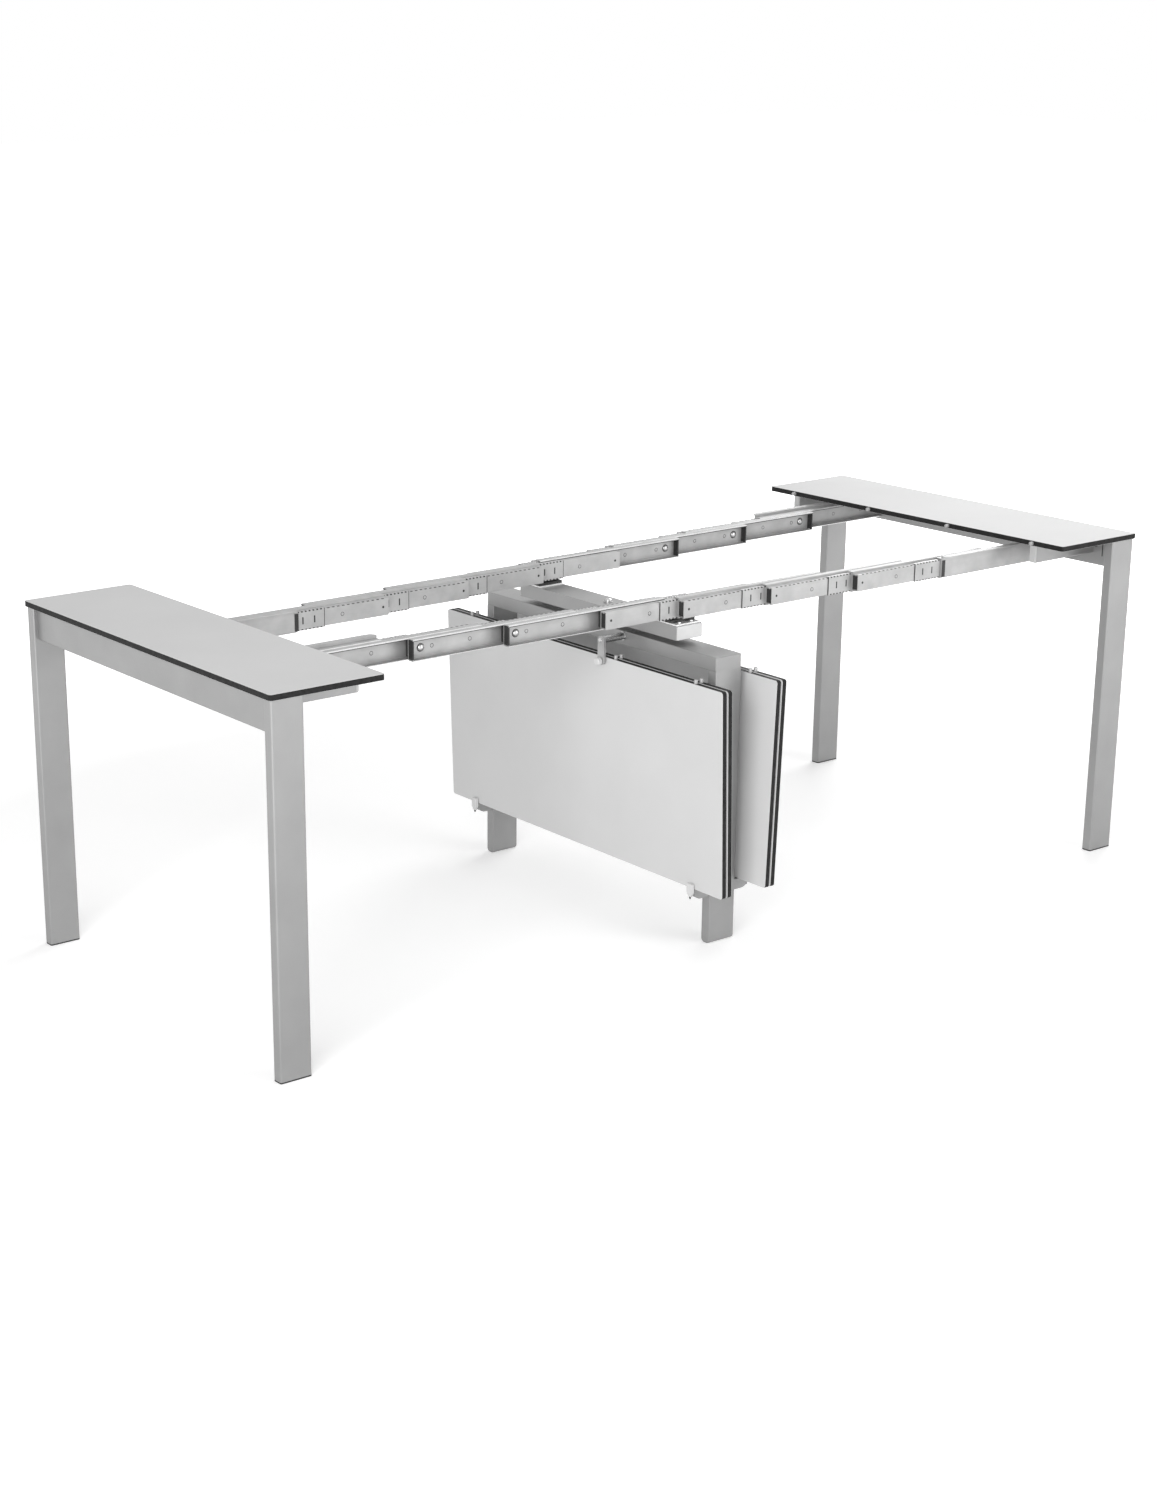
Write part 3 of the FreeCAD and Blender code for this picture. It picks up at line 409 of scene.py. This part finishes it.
def placeBoard(name, node, depth, width, thickness, skin, place, hasPins, hasSockets):
    body = bodyOf(node)

    def put(bm):
        bmesh.ops.transform(bm, matrix=place, verts=bm.verts)
        bmesh.ops.recalc_face_normals(bm, faces=bm.faces)
        return bm
    board = flatBoard(depth, width, thickness, skin)
    if hasSockets:
        drillEdge(board, depth, thickness)
    addPiece(name, [put(board)], [laminateSkin, laminateCore], body, [node])
    if hasPins:
        pins = [put(bm) for bm in edgePins(thickness)]
        addPiece(name + "Pins", pins, [zincStrip], body, smooth=True)
    if hasSockets:
        rings = [put(bm) for bm in edgeSockets(depth, thickness)]
        addPiece(name + "SocketRings", rings, [brightSteel], body, smooth=True)


topLow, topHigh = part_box("left_top")
topSize = topHigh - topLow
placeBoard(
    "leftTopBoard", "left_top", topSize.x, topSize.y, topSize.z, boardLook["topSkin"],
    Matrix.Translation((topLow.x, 0, topLow.z)), False, True,
)
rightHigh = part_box("right_top")[1]
placeBoard(
    "rightTopBoard", "right_top", topSize.x, topSize.y, topSize.z, boardLook["topSkin"],
    Matrix.Translation((rightHigh.x - topSize.x, 0, topLow.z)), True, False,
)
for side, way in sides.items():
    for order in ("inner", "outer"):
        node = f"{side}_{order}_leaf"
        low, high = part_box(node)
        lean = boardLook["lean"]
        downward = Vector((-way * math.sin(lean), 0, -math.cos(lean)))
        outward = Vector((way * math.cos(lean), 0, -math.sin(lean)))
        footX = low.x if way > 0 else high.x
        foot = Vector((footX, 0, low.z + topSize.z * math.sin(lean)))
        top = foot - downward * boardLook["leafDepth"]
        place = Matrix.Translation(top) @ Matrix((downward, (0, 1, 0), outward)).transposed().to_4x4()
        placeBoard(
            f"{side}{order.capitalize()}Leaf", node, boardLook["leafDepth"], topSize.y, topSize.z,
            boardLook["leafSkin"], place, True, True,
        )
print("boards placed")


# rails: ball rows in the cages, and pressed bumps in the channels, each ringed with painted shade

lastStage = 4  # the outermost rail of a side, which has as many cages
channelWall = 0.0018  # thickness of the rolled strip
railAxis = sum(corner.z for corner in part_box("left_end_rails")) / 2


def railNode(side, stage):
    if stage == 0:
        return "center_rails"
    if stage == lastStage:
        return f"{side}_end_rails"
    return f"{side}_rails_{stage}"


def rowBox(node, row):
    # the part of a node that lies on the front or the back rail
    points = [v.co for v in nodes[node].data.vertices if v.co.y * rows[row] > 0]
    low = Vector([min(p[axis] for p in points) for axis in range(3)])
    high = Vector([max(p[axis] for p in points) for axis in range(3)])
    return low, high


ballLook = {
    "radius": 0.0019, "pitch": 0.007, "inset": 0.005, "rise": 0.0187, "out": 0.0006, "steps": 7, "rings": 5,
}


def ballRows(node, way):
    balls = bmesh.new()
    for row, rowWay in rows.items():
        low, high = rowBox(node, row)
        opening = -way * rowWay  # the side on which the channel is open
        y = (high.y if opening > 0 else low.y) + opening * ballLook["out"]
        count = int((high.x - low.x - 2 * ballLook["inset"]) / ballLook["pitch"]) + 1
        for step in range(count):
            x = low.x + ballLook["inset"] + step * ballLook["pitch"]
            for rise in (-ballLook["rise"], ballLook["rise"]):
                place = Matrix.Translation((x, y, railAxis + rise))
                bmesh.ops.create_uvsphere(
                    balls, u_segments=ballLook["steps"], v_segments=ballLook["rings"],
                    radius=ballLook["radius"], matrix=place)
    return balls


bumpLook = {
    "radius": 0.0076, "rise": 0.0044, "shank": 0.0004, "sink": 0.0001, "fromEnd": 0.029, "endNear": 0.0005,
    "rim": 0.0088, "rimHeight": 0.0003, "rings": 6, "steps": 24,
}


def pressedBumps(node, way):
    # one bump on each rail, and a dark rim round it, painted shade round the bump
    bumps, shadeRims = [], []
    for row, rowWay in rows.items():
        low, high = rowBox(node, row)
        end = high.x if way > 0 else low.x
        facing = -way * rowWay  # the channel's mouth looks this way
        ends = [v.co.y for v in nodes[node].data.vertices
                if v.co.y * rowWay > 0 and abs(v.co.x - end) < bumpLook["endNear"]]
        face = (min(ends) if facing > 0 else max(ends)) + facing * channelWall
        start = (end - way * bumpLook["fromEnd"], face - facing * bumpLook["sink"], railAxis)
        dome = domeProfile(bumpLook["radius"], bumpLook["rise"], bumpLook["shank"], bumpLook["rings"])
        bumps.append(turnedPiece(dome, start, (0, facing, 0), bumpLook["steps"]))
        flat = discProfile(bumpLook["rim"], bumpLook["rimHeight"])
        shadeRims.append(turnedPiece(flat, start, (0, facing, 0), bumpLook["steps"]))
    return bumps, shadeRims


for side, way in sides.items():
    for number in range(1, lastStage + 1):
        node = f"{side}_cages_{number}"
        name, balls = f"{side}BallRows{number}", ballRows(node, way)
        addPiece(name, [balls], [brightSteel], bodyOf(node), smooth=True)
    for stage in range(1, lastStage + 1):
        node = railNode(side, stage)
        name, body = pieceName(node), bodyOf(node)
        bumps, shadeRims = pressedBumps(node, way)
        addPiece(name + "Bumps", bumps, [brightSteel], body, smooth=True)
        addPiece(name + "BumpRings", shadeRims, [blackPlastic], body)
print("rails dressed")


# marks on the rails: painted highlights on the rolled edges, painted shadow under the lips, rivets ringed
# with painted shade, painted shade in the holes, black end strips, and painted shade in the windows of cages
# and runners and in the slots and inner ends of the cages

laneLook = {"line": 0.224, "pitch": 0.020}


def lineOf(side, row, stage):
    # the plane that a stage's channel and runner share, and the way its runner faces
    way, rowWay = sides[side], rows[row]
    return rowWay * (laneLook["line"] + way * laneLook["pitch"] * stage), way * rowWay


rivetLook = {"radius": 0.0034, "rise": 0.00035, "ring": 0.0044, "ringRise": 0.0001, "steps": 12, "rings": 3}


# a domed rivet head on a dark ring, the ring painted shade round the head
def rivet(x, y, facing):
    start = (x, y, railAxis)
    flat = discProfile(rivetLook["ring"], rivetLook["ringRise"])
    dome = domeProfile(rivetLook["radius"], rivetLook["rise"], rivetLook["ringRise"], rivetLook["rings"])
    ring = turnedPiece(flat, start, (0, facing, 0), rivetLook["steps"])
    head = turnedPiece(dome, start, (0, facing, 0), rivetLook["steps"])
    return ring, head


channelLook = {
    "depth": 0.0185, "half": 0.0225, "length": 0.412, "ease": 0.0022, "lip": 0.004, "lipShadow": 0.0011,
    "edgeWidth": 0.0026, "edgeProud": 0.00012, "endInset": 0.0004, "rivets": (0.057, 0.151),
}


def channelMarks(side, row, stage, outerEnd):
    way = sides[side]
    line, outward = lineOf(side, row, stage)
    mouth = line - outward * channelLook["depth"]
    innerEnd = outerEnd - way * channelLook["length"]
    x0, x1 = innerEnd + way * channelLook["endInset"], outerEnd - way * channelLook["endInset"]
    ease, half, proud = channelLook["ease"] / 2, channelLook["edgeWidth"] / 2, channelLook["edgeProud"]
    highlights, dull, dark = [], [], []
    for up in (-1, 1):
        # a thin pale strip on each rolled edge of the mouth, a painted highlight
        edge = between(x0, x1, -half, half, -proud, proud)
        tilt = Matrix.Rotation(up * outward * math.pi / 4, 4, "X")
        height = railAxis + up * (channelLook["half"] - ease)
        place = Matrix.Translation((0, mouth + outward * ease, height))
        bmesh.ops.transform(edge, matrix=place @ tilt, verts=edge.verts)
        highlights.append(edge)
        lip = railAxis + up * (channelLook["half"] - channelLook["lip"])
        dark.append(between(x0, x1, mouth, mouth - outward * proud, lip, lip + up * channelLook["lipShadow"]))
    for place in channelLook["rivets"]:
        ring, head = rivet(outerEnd - way * place, line - outward * channelWall, -outward)
        dark.append(ring)
        dull.append(head)
    return highlights, dull, dark


runnerLook = {
    "depth": 0.0162, "half": 0.0185, "length": 0.371, "rivet": 0.118,
    "hole": 0.014, "holeRadius": 0.0028, "holeRise": 0.0001,
    "windowLength": 0.0062, "windowPitch": 0.0125, "windowFace": 0.0011, "windowTop": 0.0034,
    "windowProud": 0.00008, "windowInset": 0.012,
}


def runnerMarks(side, row, stage, innerEnd):
    way = sides[side]
    line, outward = lineOf(side, row, stage)
    face = line + outward * runnerLook["depth"]
    ring, head = rivet(innerEnd + way * runnerLook["rivet"], face, outward)
    # a dark disc in the runner's hole, painted shade inside it
    flat = discProfile(runnerLook["holeRadius"], runnerLook["holeRise"])
    start = (innerEnd + way * runnerLook["hole"], face, railAxis)
    hole = turnedPiece(flat, start, (0, outward, 0), meshLook["smallSteps"])
    dark = [ring, hole]
    if stage:
        # dark patches along the top edge, painted shade in place of the race windows
        top, proud = railAxis + runnerLook["half"], runnerLook["windowProud"]
        count = int((runnerLook["length"] - 2 * runnerLook["windowInset"]) / runnerLook["windowPitch"])
        for step in range(count):
            x = innerEnd + way * (runnerLook["windowInset"] + step * runnerLook["windowPitch"])
            dark.append(between(
                x, x + way * runnerLook["windowLength"],
                face + outward * proud, face - outward * runnerLook["windowTop"],
                top - runnerLook["windowFace"], top + proud))
    return [], [head], dark


stripLook = {"length": 0.0085, "start": 0.0030, "end": 0.0045, "half": 0.0185}


def endStrip(side, row, innerEnd):
    # a black strip on the outer face of a carrier's inner end
    line, outward = lineOf(side, row, lastStage)
    return between(
        innerEnd, innerEnd + sides[side] * stripLook["length"],
        line + outward * stripLook["start"], line + outward * stripLook["end"],
        railAxis - stripLook["half"], railAxis + stripLook["half"])


cageLook = {
    "half": 0.0201, "wall": 0.001, "slotWidth": 0.0034, "slotHeight": 0.015, "slotStarts": (0.022, 0.051),
    "slotSink": 0.0002, "windowLength": 0.0044, "windowPitch": 0.0095, "windowFace": 0.0024,
    "windowTop": 0.0036, "windowProud": 0.00004, "windowInset": 0.005, "endWidth": 0.0016,
}


def cageMarks(side, row, low, high, stage):
    way = sides[side]
    line, outward = lineOf(side, row, stage)
    face = high.y if outward > 0 else low.y
    innerEnd, outerEnd = (low.x, high.x) if way > 0 else (high.x, low.x)
    half, proud = cageLook["slotHeight"] / 2, cageLook["windowProud"]
    dark = []
    # dark boxes in the slots, painted shade where the slots open
    for start in cageLook["slotStarts"]:
        x = innerEnd + way * start
        dark.append(between(
            x, x + way * cageLook["slotWidth"], face - outward * cageLook["slotSink"],
            face - outward * cageLook["wall"], railAxis - half, railAxis + half))
    # a dark strip at the inner end, painted shadow at the cage's end
    dark.append(between(
        innerEnd, innerEnd - way * cageLook["endWidth"], face - outward * cageLook["wall"],
        face - outward * cageLook["slotSink"], railAxis - cageLook["half"], railAxis + cageLook["half"]))
    # dark patches along both edges, painted shade in the ball windows
    count = int((abs(outerEnd - innerEnd) - 2 * cageLook["windowInset"]) / cageLook["windowPitch"])
    for step in range(count):
        x = innerEnd + way * (cageLook["windowInset"] + step * cageLook["windowPitch"])
        for up in (-1, 1):
            edge = railAxis + up * cageLook["half"]
            dark.append(between(
                x, x + way * cageLook["windowLength"],
                face + outward * proud, face - outward * cageLook["windowTop"],
                edge - up * cageLook["windowFace"], edge + up * proud))
    return dark


def addMarks(name, node, highlights, dull, dark):
    # the pale strips are painted highlights
    if highlights:
        addPiece(name + "Edges", highlights, [rolledEdge], bodyOf(node))
    if dull:
        addPiece(name + "Rivets", dull, [zincStrip], bodyOf(node), smooth=True)
    # the dark marks are painted shade and shadow, with the black end strips
    addPiece(name + "Marks", dark, [blackPlastic], bodyOf(node))


for side, way in sides.items():
    for stage in range(lastStage + 1):
        node = railNode(side, stage)
        highlights, dull, dark = [], [], []
        for row in rows:
            low, high = rowBox(node, row)
            innerEnd, outerEnd = (low.x, high.x) if way > 0 else (high.x, low.x)
            made = []
            if stage > 0:
                made.append(channelMarks(side, row, stage, outerEnd))
            if stage < lastStage:
                made.append(runnerMarks(side, row, stage, innerEnd))
            else:
                dark.append(endStrip(side, row, innerEnd))
            for light, middle, shade in made:
                highlights += light
                dull += middle
                dark += shade
        addMarks(f"{side}Stage{stage}", node, highlights, dull, dark)
    for number in range(1, lastStage + 1):
        node = f"{side}_cages_{number}"
        dark = []
        for row in rows:
            low, high = rowBox(node, row)
            dark += cageMarks(side, row, low, high, number)
        addMarks(f"{side}Cages{number}", node, [], [], dark)
print("rails marked")


# crossbar: plastic caps on its ends, washer and bolt head on its top

capLook = {"thickness": 0.0012, "inset": 0.0006, "round": 0.0025, "segments": 4}
barLow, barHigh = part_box("crossbar")
caps = []
for rowWay in rows.values():
    end = barHigh.y if rowWay > 0 else barLow.y
    inset = capLook["inset"]
    cap = between(
        barLow.x + inset, barHigh.x - inset, end, end + rowWay * capLook["thickness"],
        barLow.z + inset, barHigh.z - inset)
    roundOff(cap, edgesAlong(cap, 1), capLook["round"], capLook["segments"])
    caps.append(cap)
addPiece("crossbarCaps", caps, [whitePlastic], bodyOf("crossbar"))

boltLook = {
    "washerRadius": 0.0105, "washerHeight": 0.0016, "washerSteps": 28,
    "headRadius": 0.0082, "headHeight": 0.0025, "headRise": 0.004, "headRings": 5, "headSteps": 24,
}
flat = discProfile(boltLook["washerRadius"], boltLook["washerHeight"])
washer = turnedPiece(flat, (0, 0, barHigh.z), (0, 0, 1), boltLook["washerSteps"])
dome = domeProfile(
    boltLook["headRadius"], boltLook["headRise"], boltLook["headHeight"], boltLook["headRings"])
head = turnedPiece(dome, (0, 0, barHigh.z + boltLook["washerHeight"]), (0, 0, 1), boltLook["headSteps"])
boltBody = bodyOf("crossbar_fixing")
addPiece("centerBoltCap", [washer, head], [brightSteel], boltBody, smooth=True)


# latches: a flat strap with round ends and a plastic knob

strapLook = {
    "thickness": 0.007, "extra": 0.002, "endSegments": 8, "edge": 0.0008, "edgeSegments": 2, "sharp": 1.2,
}
knobLook = {"edge": 0.0018, "steps": 28}
for side, way in sides.items():
    node = f"{side}_latch"
    body = bodyOf(node)
    low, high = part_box(node)
    inner, tip = (low.x, high.x) if way > 0 else (high.x, low.x)
    face = inner + way * strapLook["thickness"]
    middle, radius = (low.y + high.y) / 2, (high.y - low.y) / 2
    strap = between(inner, face, low.y - strapLook["extra"], high.y + strapLook["extra"], low.z, high.z)
    roundOff(strap, edgesAlong(strap, 0), radius, strapLook["endSegments"])
    rim = [edge for edge in strap.edges if edge.calc_face_angle(0) > strapLook["sharp"]]
    roundOff(strap, rim, strapLook["edge"], strapLook["edgeSegments"])
    addPiece(f"{side}LatchStrap", [strap], [zincStrip], body, [node])
    edge, reach = knobLook["edge"], abs(tip - face)
    profile = [
        (0, 0), (radius - edge, 0), (radius, edge),
        (radius, reach - edge), (radius - edge, reach), (0, reach),
    ]
    knob = turnedPiece(profile, (face, middle, low.z + radius), (way, 0, 0), knobLook["steps"])
    addPiece(f"{side}LatchKnob", [knob], [whitePlastic], body, smooth=True)
print("crossbar and latches placed")


# corner plates inside the aprons, each with a slot in painted shade and a screw

plateLook = {"inner": 0.376, "outer": 0.4335, "thickness": 0.003, "round": 0.004, "segments": 4}
slotLook = {"place": 0.417, "width": 0.0026, "height": 0.032, "rise": 0.0002}
screwLook = {
    "place": 0.3965, "drop": 0.012, "radius": 0.0058, "rise": 0.002, "shank": 0.0012, "rings": 4,
    "washerRadius": 0.0078, "washerHeight": 0.0008,
}
for side, way in sides.items():
    node = f"{side}_corner_brackets"
    low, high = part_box(node)
    outer = high.x if way > 0 else low.x
    face = outer - way * plateLook["thickness"]
    middle = (low.z + high.z) / 2
    plates, slots, screws = [], [], []
    for rowWay in rows.values():
        y0, y1 = rowWay * plateLook["inner"], rowWay * plateLook["outer"]
        plate = between(outer, face, y0, y1, low.z, high.z)
        roundOff(plate, edgesAlong(plate, 0), plateLook["round"], plateLook["segments"])
        plates.append(plate)
        # the slot is a thin dark box on the plate, painted shade where it opens
        y, halfWidth, halfHeight = rowWay * slotLook["place"], slotLook["width"] / 2, slotLook["height"] / 2
        slots.append(between(
            face, face - way * slotLook["rise"], y - halfWidth, y + halfWidth,
            middle - halfHeight, middle + halfHeight))
        place = (face, rowWay * screwLook["place"], high.z - screwLook["drop"])
        washer = discProfile(screwLook["washerRadius"], screwLook["washerHeight"])
        slots.append(turnedPiece(washer, place, (-way, 0, 0), meshLook["turnSteps"]))
        dome = domeProfile(screwLook["radius"], screwLook["rise"], screwLook["shank"], screwLook["rings"])
        screws.append(turnedPiece(dome, place, (-way, 0, 0), meshLook["turnSteps"]))
    body = bodyOf(node)
    screwNodes = [f"{side}_screws"]
    addPiece(f"{side}CornerPlates", plates, [satinPaint], body, [node])
    addPiece(f"{side}PlateSlots", slots, [blackPlastic], body)
    addPiece(f"{side}PlateScrews", screws, [brightSteel], body, screwNodes, smooth=True)
print("corner plates placed")


# leaf supports with a rounded underside, and the pointed hooks on their ends

supportLook = {"drop": 0.008, "round": 0.019, "roundSegments": 8, "edge": 0.001, "edgeSegments": 2}
hookLook = {
    "drop": 0.003, "edge": 0.0012, "edgeSegments": 2, "taperFrom": 0.009, "taperX": 0.55, "taperY": 0.4,
}
tipLook = {"radius": 0.0026, "end": 0.0007, "length": 0.0055}
supportLow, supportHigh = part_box("leaf_supports")
hookLow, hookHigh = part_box("leaf_hooks")
hookInner = supportHigh.x
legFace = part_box("center_front_leg")[1].x
barInner = min(v.co.y for v in nodes["leaf_hooks"].data.vertices if v.co.y > 0)
supports, hooks, tips = [], [], []
for way in sides.values():
    for rowWay in rows.values():
        y0, y1 = rowWay * barInner, rowWay * supportHigh.y
        base = supportLow.z - supportLook["drop"]
        bar = between(way * legFace, way * hookInner, y0, y1, base, supportHigh.z)
        under = []
        for edge in edgesAlong(bar, 1):
            corner = edge.verts[0].co
            if corner.z < supportLow.z and abs(corner.x) > legFace + supportLook["edge"]:
                under.append(edge)
        roundOff(bar, under, supportLook["round"], supportLook["roundSegments"])
        roundOff(bar, edgesAlong(bar, 0), supportLook["edge"], supportLook["edgeSegments"])
        supports.append(bar)
        foot = hookLow.z - hookLook["drop"]
        hook = between(way * hookInner, way * hookHigh.x, y0, y1, foot, hookHigh.z)
        cutAcross(hook, (0, 0, foot + hookLook["taperFrom"]), (0, 0, 1))
        ends = [v for v in hook.verts if v.co.z < foot + hookLook["taperFrom"] / 2]
        middle = Vector((way * (hookInner + hookHigh.x) / 2, (y0 + y1) / 2, foot))
        taper = (hookLook["taperX"], hookLook["taperY"], 1)
        bmesh.ops.scale(hook, vec=taper, space=Matrix.Translation(-middle), verts=ends)
        roundOff(hook, edgesAlong(hook, 2) + edgesAlong(hook, 1), hookLook["edge"], hookLook["edgeSegments"])
        hooks.append(hook)
        length = tipLook["length"]
        profile = [(0, 0), (tipLook["radius"], 0), (tipLook["end"], length), (0, length)]
        tips.append(turnedPiece(profile, middle, (0, 0, -1), meshLook["smallSteps"]))
addPiece("leafSupports", supports, [satinPaint], bodyOf("leaf_supports"), ["leaf_supports"])
addPiece("leafHooks", hooks, [whitePlastic], bodyOf("leaf_hooks"), ["leaf_hooks"])
addPiece("leafHookTips", tips, [blackPlastic], bodyOf("leaf_hooks"))
print("hooks placed")


# centre legs: rounded edges, and foot ends rounded across the thin side

legLook = {"edge": 0.002, "edgeSegments": 3, "footRound": 0.009, "footSegments": 6}
for node in ("center_front_leg", "center_rear_leg"):
    low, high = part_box(node)
    leg = boxBetween(low, high)
    foot = [edge for edge in edgesAlong(leg, 0) if edge.verts[0].co.z < low.z + legLook["edge"]]
    roundOff(leg, foot, legLook["footRound"], legLook["footSegments"])
    flanks = [face for face in leg.faces if abs(face.normal.x) > meshLook["flat"]]
    rim = {edge for face in flanks for edge in face.edges}
    roundOff(leg, list(rim), legLook["edge"], legLook["edgeSegments"])
    addPiece(pieceName(node), [leg], [satinPaint], bodyOf(node), [node], smooth=True)
print("centre legs placed")


# camera, light and floor

cameraLook = {
    "place": (-3.47398, -4.16135, 1.92173), "heading": 0.950, "dip": 0.310, "roll": -0.008,
    "lens": 60.84, "sensor": 36, "shiftX": 0.1029, "shiftY": 0.0422,
}
camera = bpy.data.objects.new("camera", bpy.data.cameras.new("camera"))
bpy.context.scene.collection.objects.link(camera)
ahead = Vector((
    math.cos(cameraLook["dip"]) * math.cos(cameraLook["heading"]),
    math.cos(cameraLook["dip"]) * math.sin(cameraLook["heading"]),
    -math.sin(cameraLook["dip"]),
))
level = ahead.cross((0, 0, 1)).normalized()
rise = level.cross(ahead)
rightward = level * math.cos(cameraLook["roll"]) + rise * math.sin(cameraLook["roll"])
upward = rise * math.cos(cameraLook["roll"]) - level * math.sin(cameraLook["roll"])
turn = Matrix((rightward, upward, -ahead)).transposed().to_4x4()
camera.matrix_world = Matrix.Translation(cameraLook["place"]) @ turn
camera.data.sensor_width = cameraLook["sensor"]
camera.data.lens = cameraLook["lens"]
camera.data.shift_x = cameraLook["shiftX"]
camera.data.shift_y = cameraLook["shiftY"]
bpy.context.scene.camera = camera

lightLook = {
    "ambient": 0.4, "aim": (0, 0, 0.5),
    "lamps": {
        "keyLamp": {"place": (4.8, 2.4, 2.8), "size": 3.0, "power": 140},
        "fillLamp": {"place": (-4.4, -3.4, 2.2), "size": 3.0, "power": 205},
        "frontLamp": {"place": (2.6, -4.6, 1.8), "size": 3.0, "power": 85},
        "topLamp": {"place": (0.0, 0.0, 4.2), "size": 3.0, "power": 13},
    },
}
for name, lamp in lightLook["lamps"].items():
    light = bpy.data.lights.new(name, "AREA")
    light.size = lamp["size"]
    light.energy = lamp["power"]
    holder = bpy.data.objects.new(name, light)
    bpy.context.scene.collection.objects.link(holder)
    aim = Vector(lightLook["aim"]) - Vector(lamp["place"])
    swing = aim.to_track_quat("-Z", "Y").to_matrix().to_4x4()
    holder.matrix_world = Matrix.Translation(lamp["place"]) @ swing


def seenDirectly(tree):
    # 1 where the camera, a mirror or clear glass looks at the surface
    path = tree.nodes.new("ShaderNodeLightPath")
    total = path.outputs["Is Camera Ray"]
    for name in ("Is Glossy Ray", "Is Transmission Ray"):
        joined = tree.nodes.new("ShaderNodeMath")
        joined.operation = "MAXIMUM"
        tree.links.new(total, joined.inputs[0])
        tree.links.new(path.outputs[name], joined.inputs[1])
        total = joined.outputs[0]
    return total


world = bpy.data.worlds.new("studio")
bpy.context.scene.world = world
world.use_nodes = True
sky = world.node_tree.nodes["Background"]
strength = world.node_tree.nodes.new("ShaderNodeMapRange")
strength.inputs["To Min"].default_value = lightLook["ambient"]
strength.inputs["To Max"].default_value = 1
world.node_tree.links.new(seenDirectly(world.node_tree), strength.inputs["Value"])
world.node_tree.links.new(strength.outputs["Result"], sky.inputs["Strength"])
sky.inputs["Color"].default_value = grey(1)

floorLook = {
    "half": 30, "color": grey(0.9), "roughness": 0.9, "lift": 0.3, "fadeStart": 1.6, "fadeEnd": 3.4,
}
floorMesh = bmesh.new()
bmesh.ops.create_grid(floorMesh, x_segments=1, y_segments=1, size=floorLook["half"])
floorData = bpy.data.meshes.new("floor")
floorMesh.to_mesh(floorData)
floorMesh.free()
floor = bpy.data.objects.new("floor", floorData)
bpy.context.scene.collection.objects.link(floor)
floorFinish = bpy.data.materials.new("floorFinish")
floorFinish.use_nodes = True
floorTree = floorFinish.node_tree
floorShader = floorTree.nodes["Principled BSDF"]
floorShader.inputs["Base Color"].default_value = floorLook["color"]
floorShader.inputs["Roughness"].default_value = floorLook["roughness"]
floorShader.inputs["Specular IOR Level"].default_value = 0
floorShader.inputs["Emission Color"].default_value = grey(1)
place = floorTree.nodes.new("ShaderNodeTexCoord")
reach = floorTree.nodes.new("ShaderNodeVectorMath")
reach.operation = "LENGTH"
fade = floorTree.nodes.new("ShaderNodeMapRange")
fade.inputs["From Min"].default_value = floorLook["fadeStart"]
fade.inputs["From Max"].default_value = floorLook["fadeEnd"]
fade.inputs["To Min"].default_value = floorLook["lift"]
fade.inputs["To Max"].default_value = 1
lift = floorTree.nodes.new("ShaderNodeMath")
lift.operation = "MULTIPLY"
floorTree.links.new(place.outputs["Object"], reach.inputs[0])
floorTree.links.new(reach.outputs["Value"], fade.inputs["Value"])
floorTree.links.new(seenDirectly(floorTree), lift.inputs[0])
floorTree.links.new(fade.outputs["Result"], lift.inputs[1])
floorTree.links.new(lift.outputs[0], floorShader.inputs["Emission Strength"])
floorData.materials.append(floorFinish)
bpy.context.scene.view_settings.view_transform = "Standard"
print("camera, light and floor set")
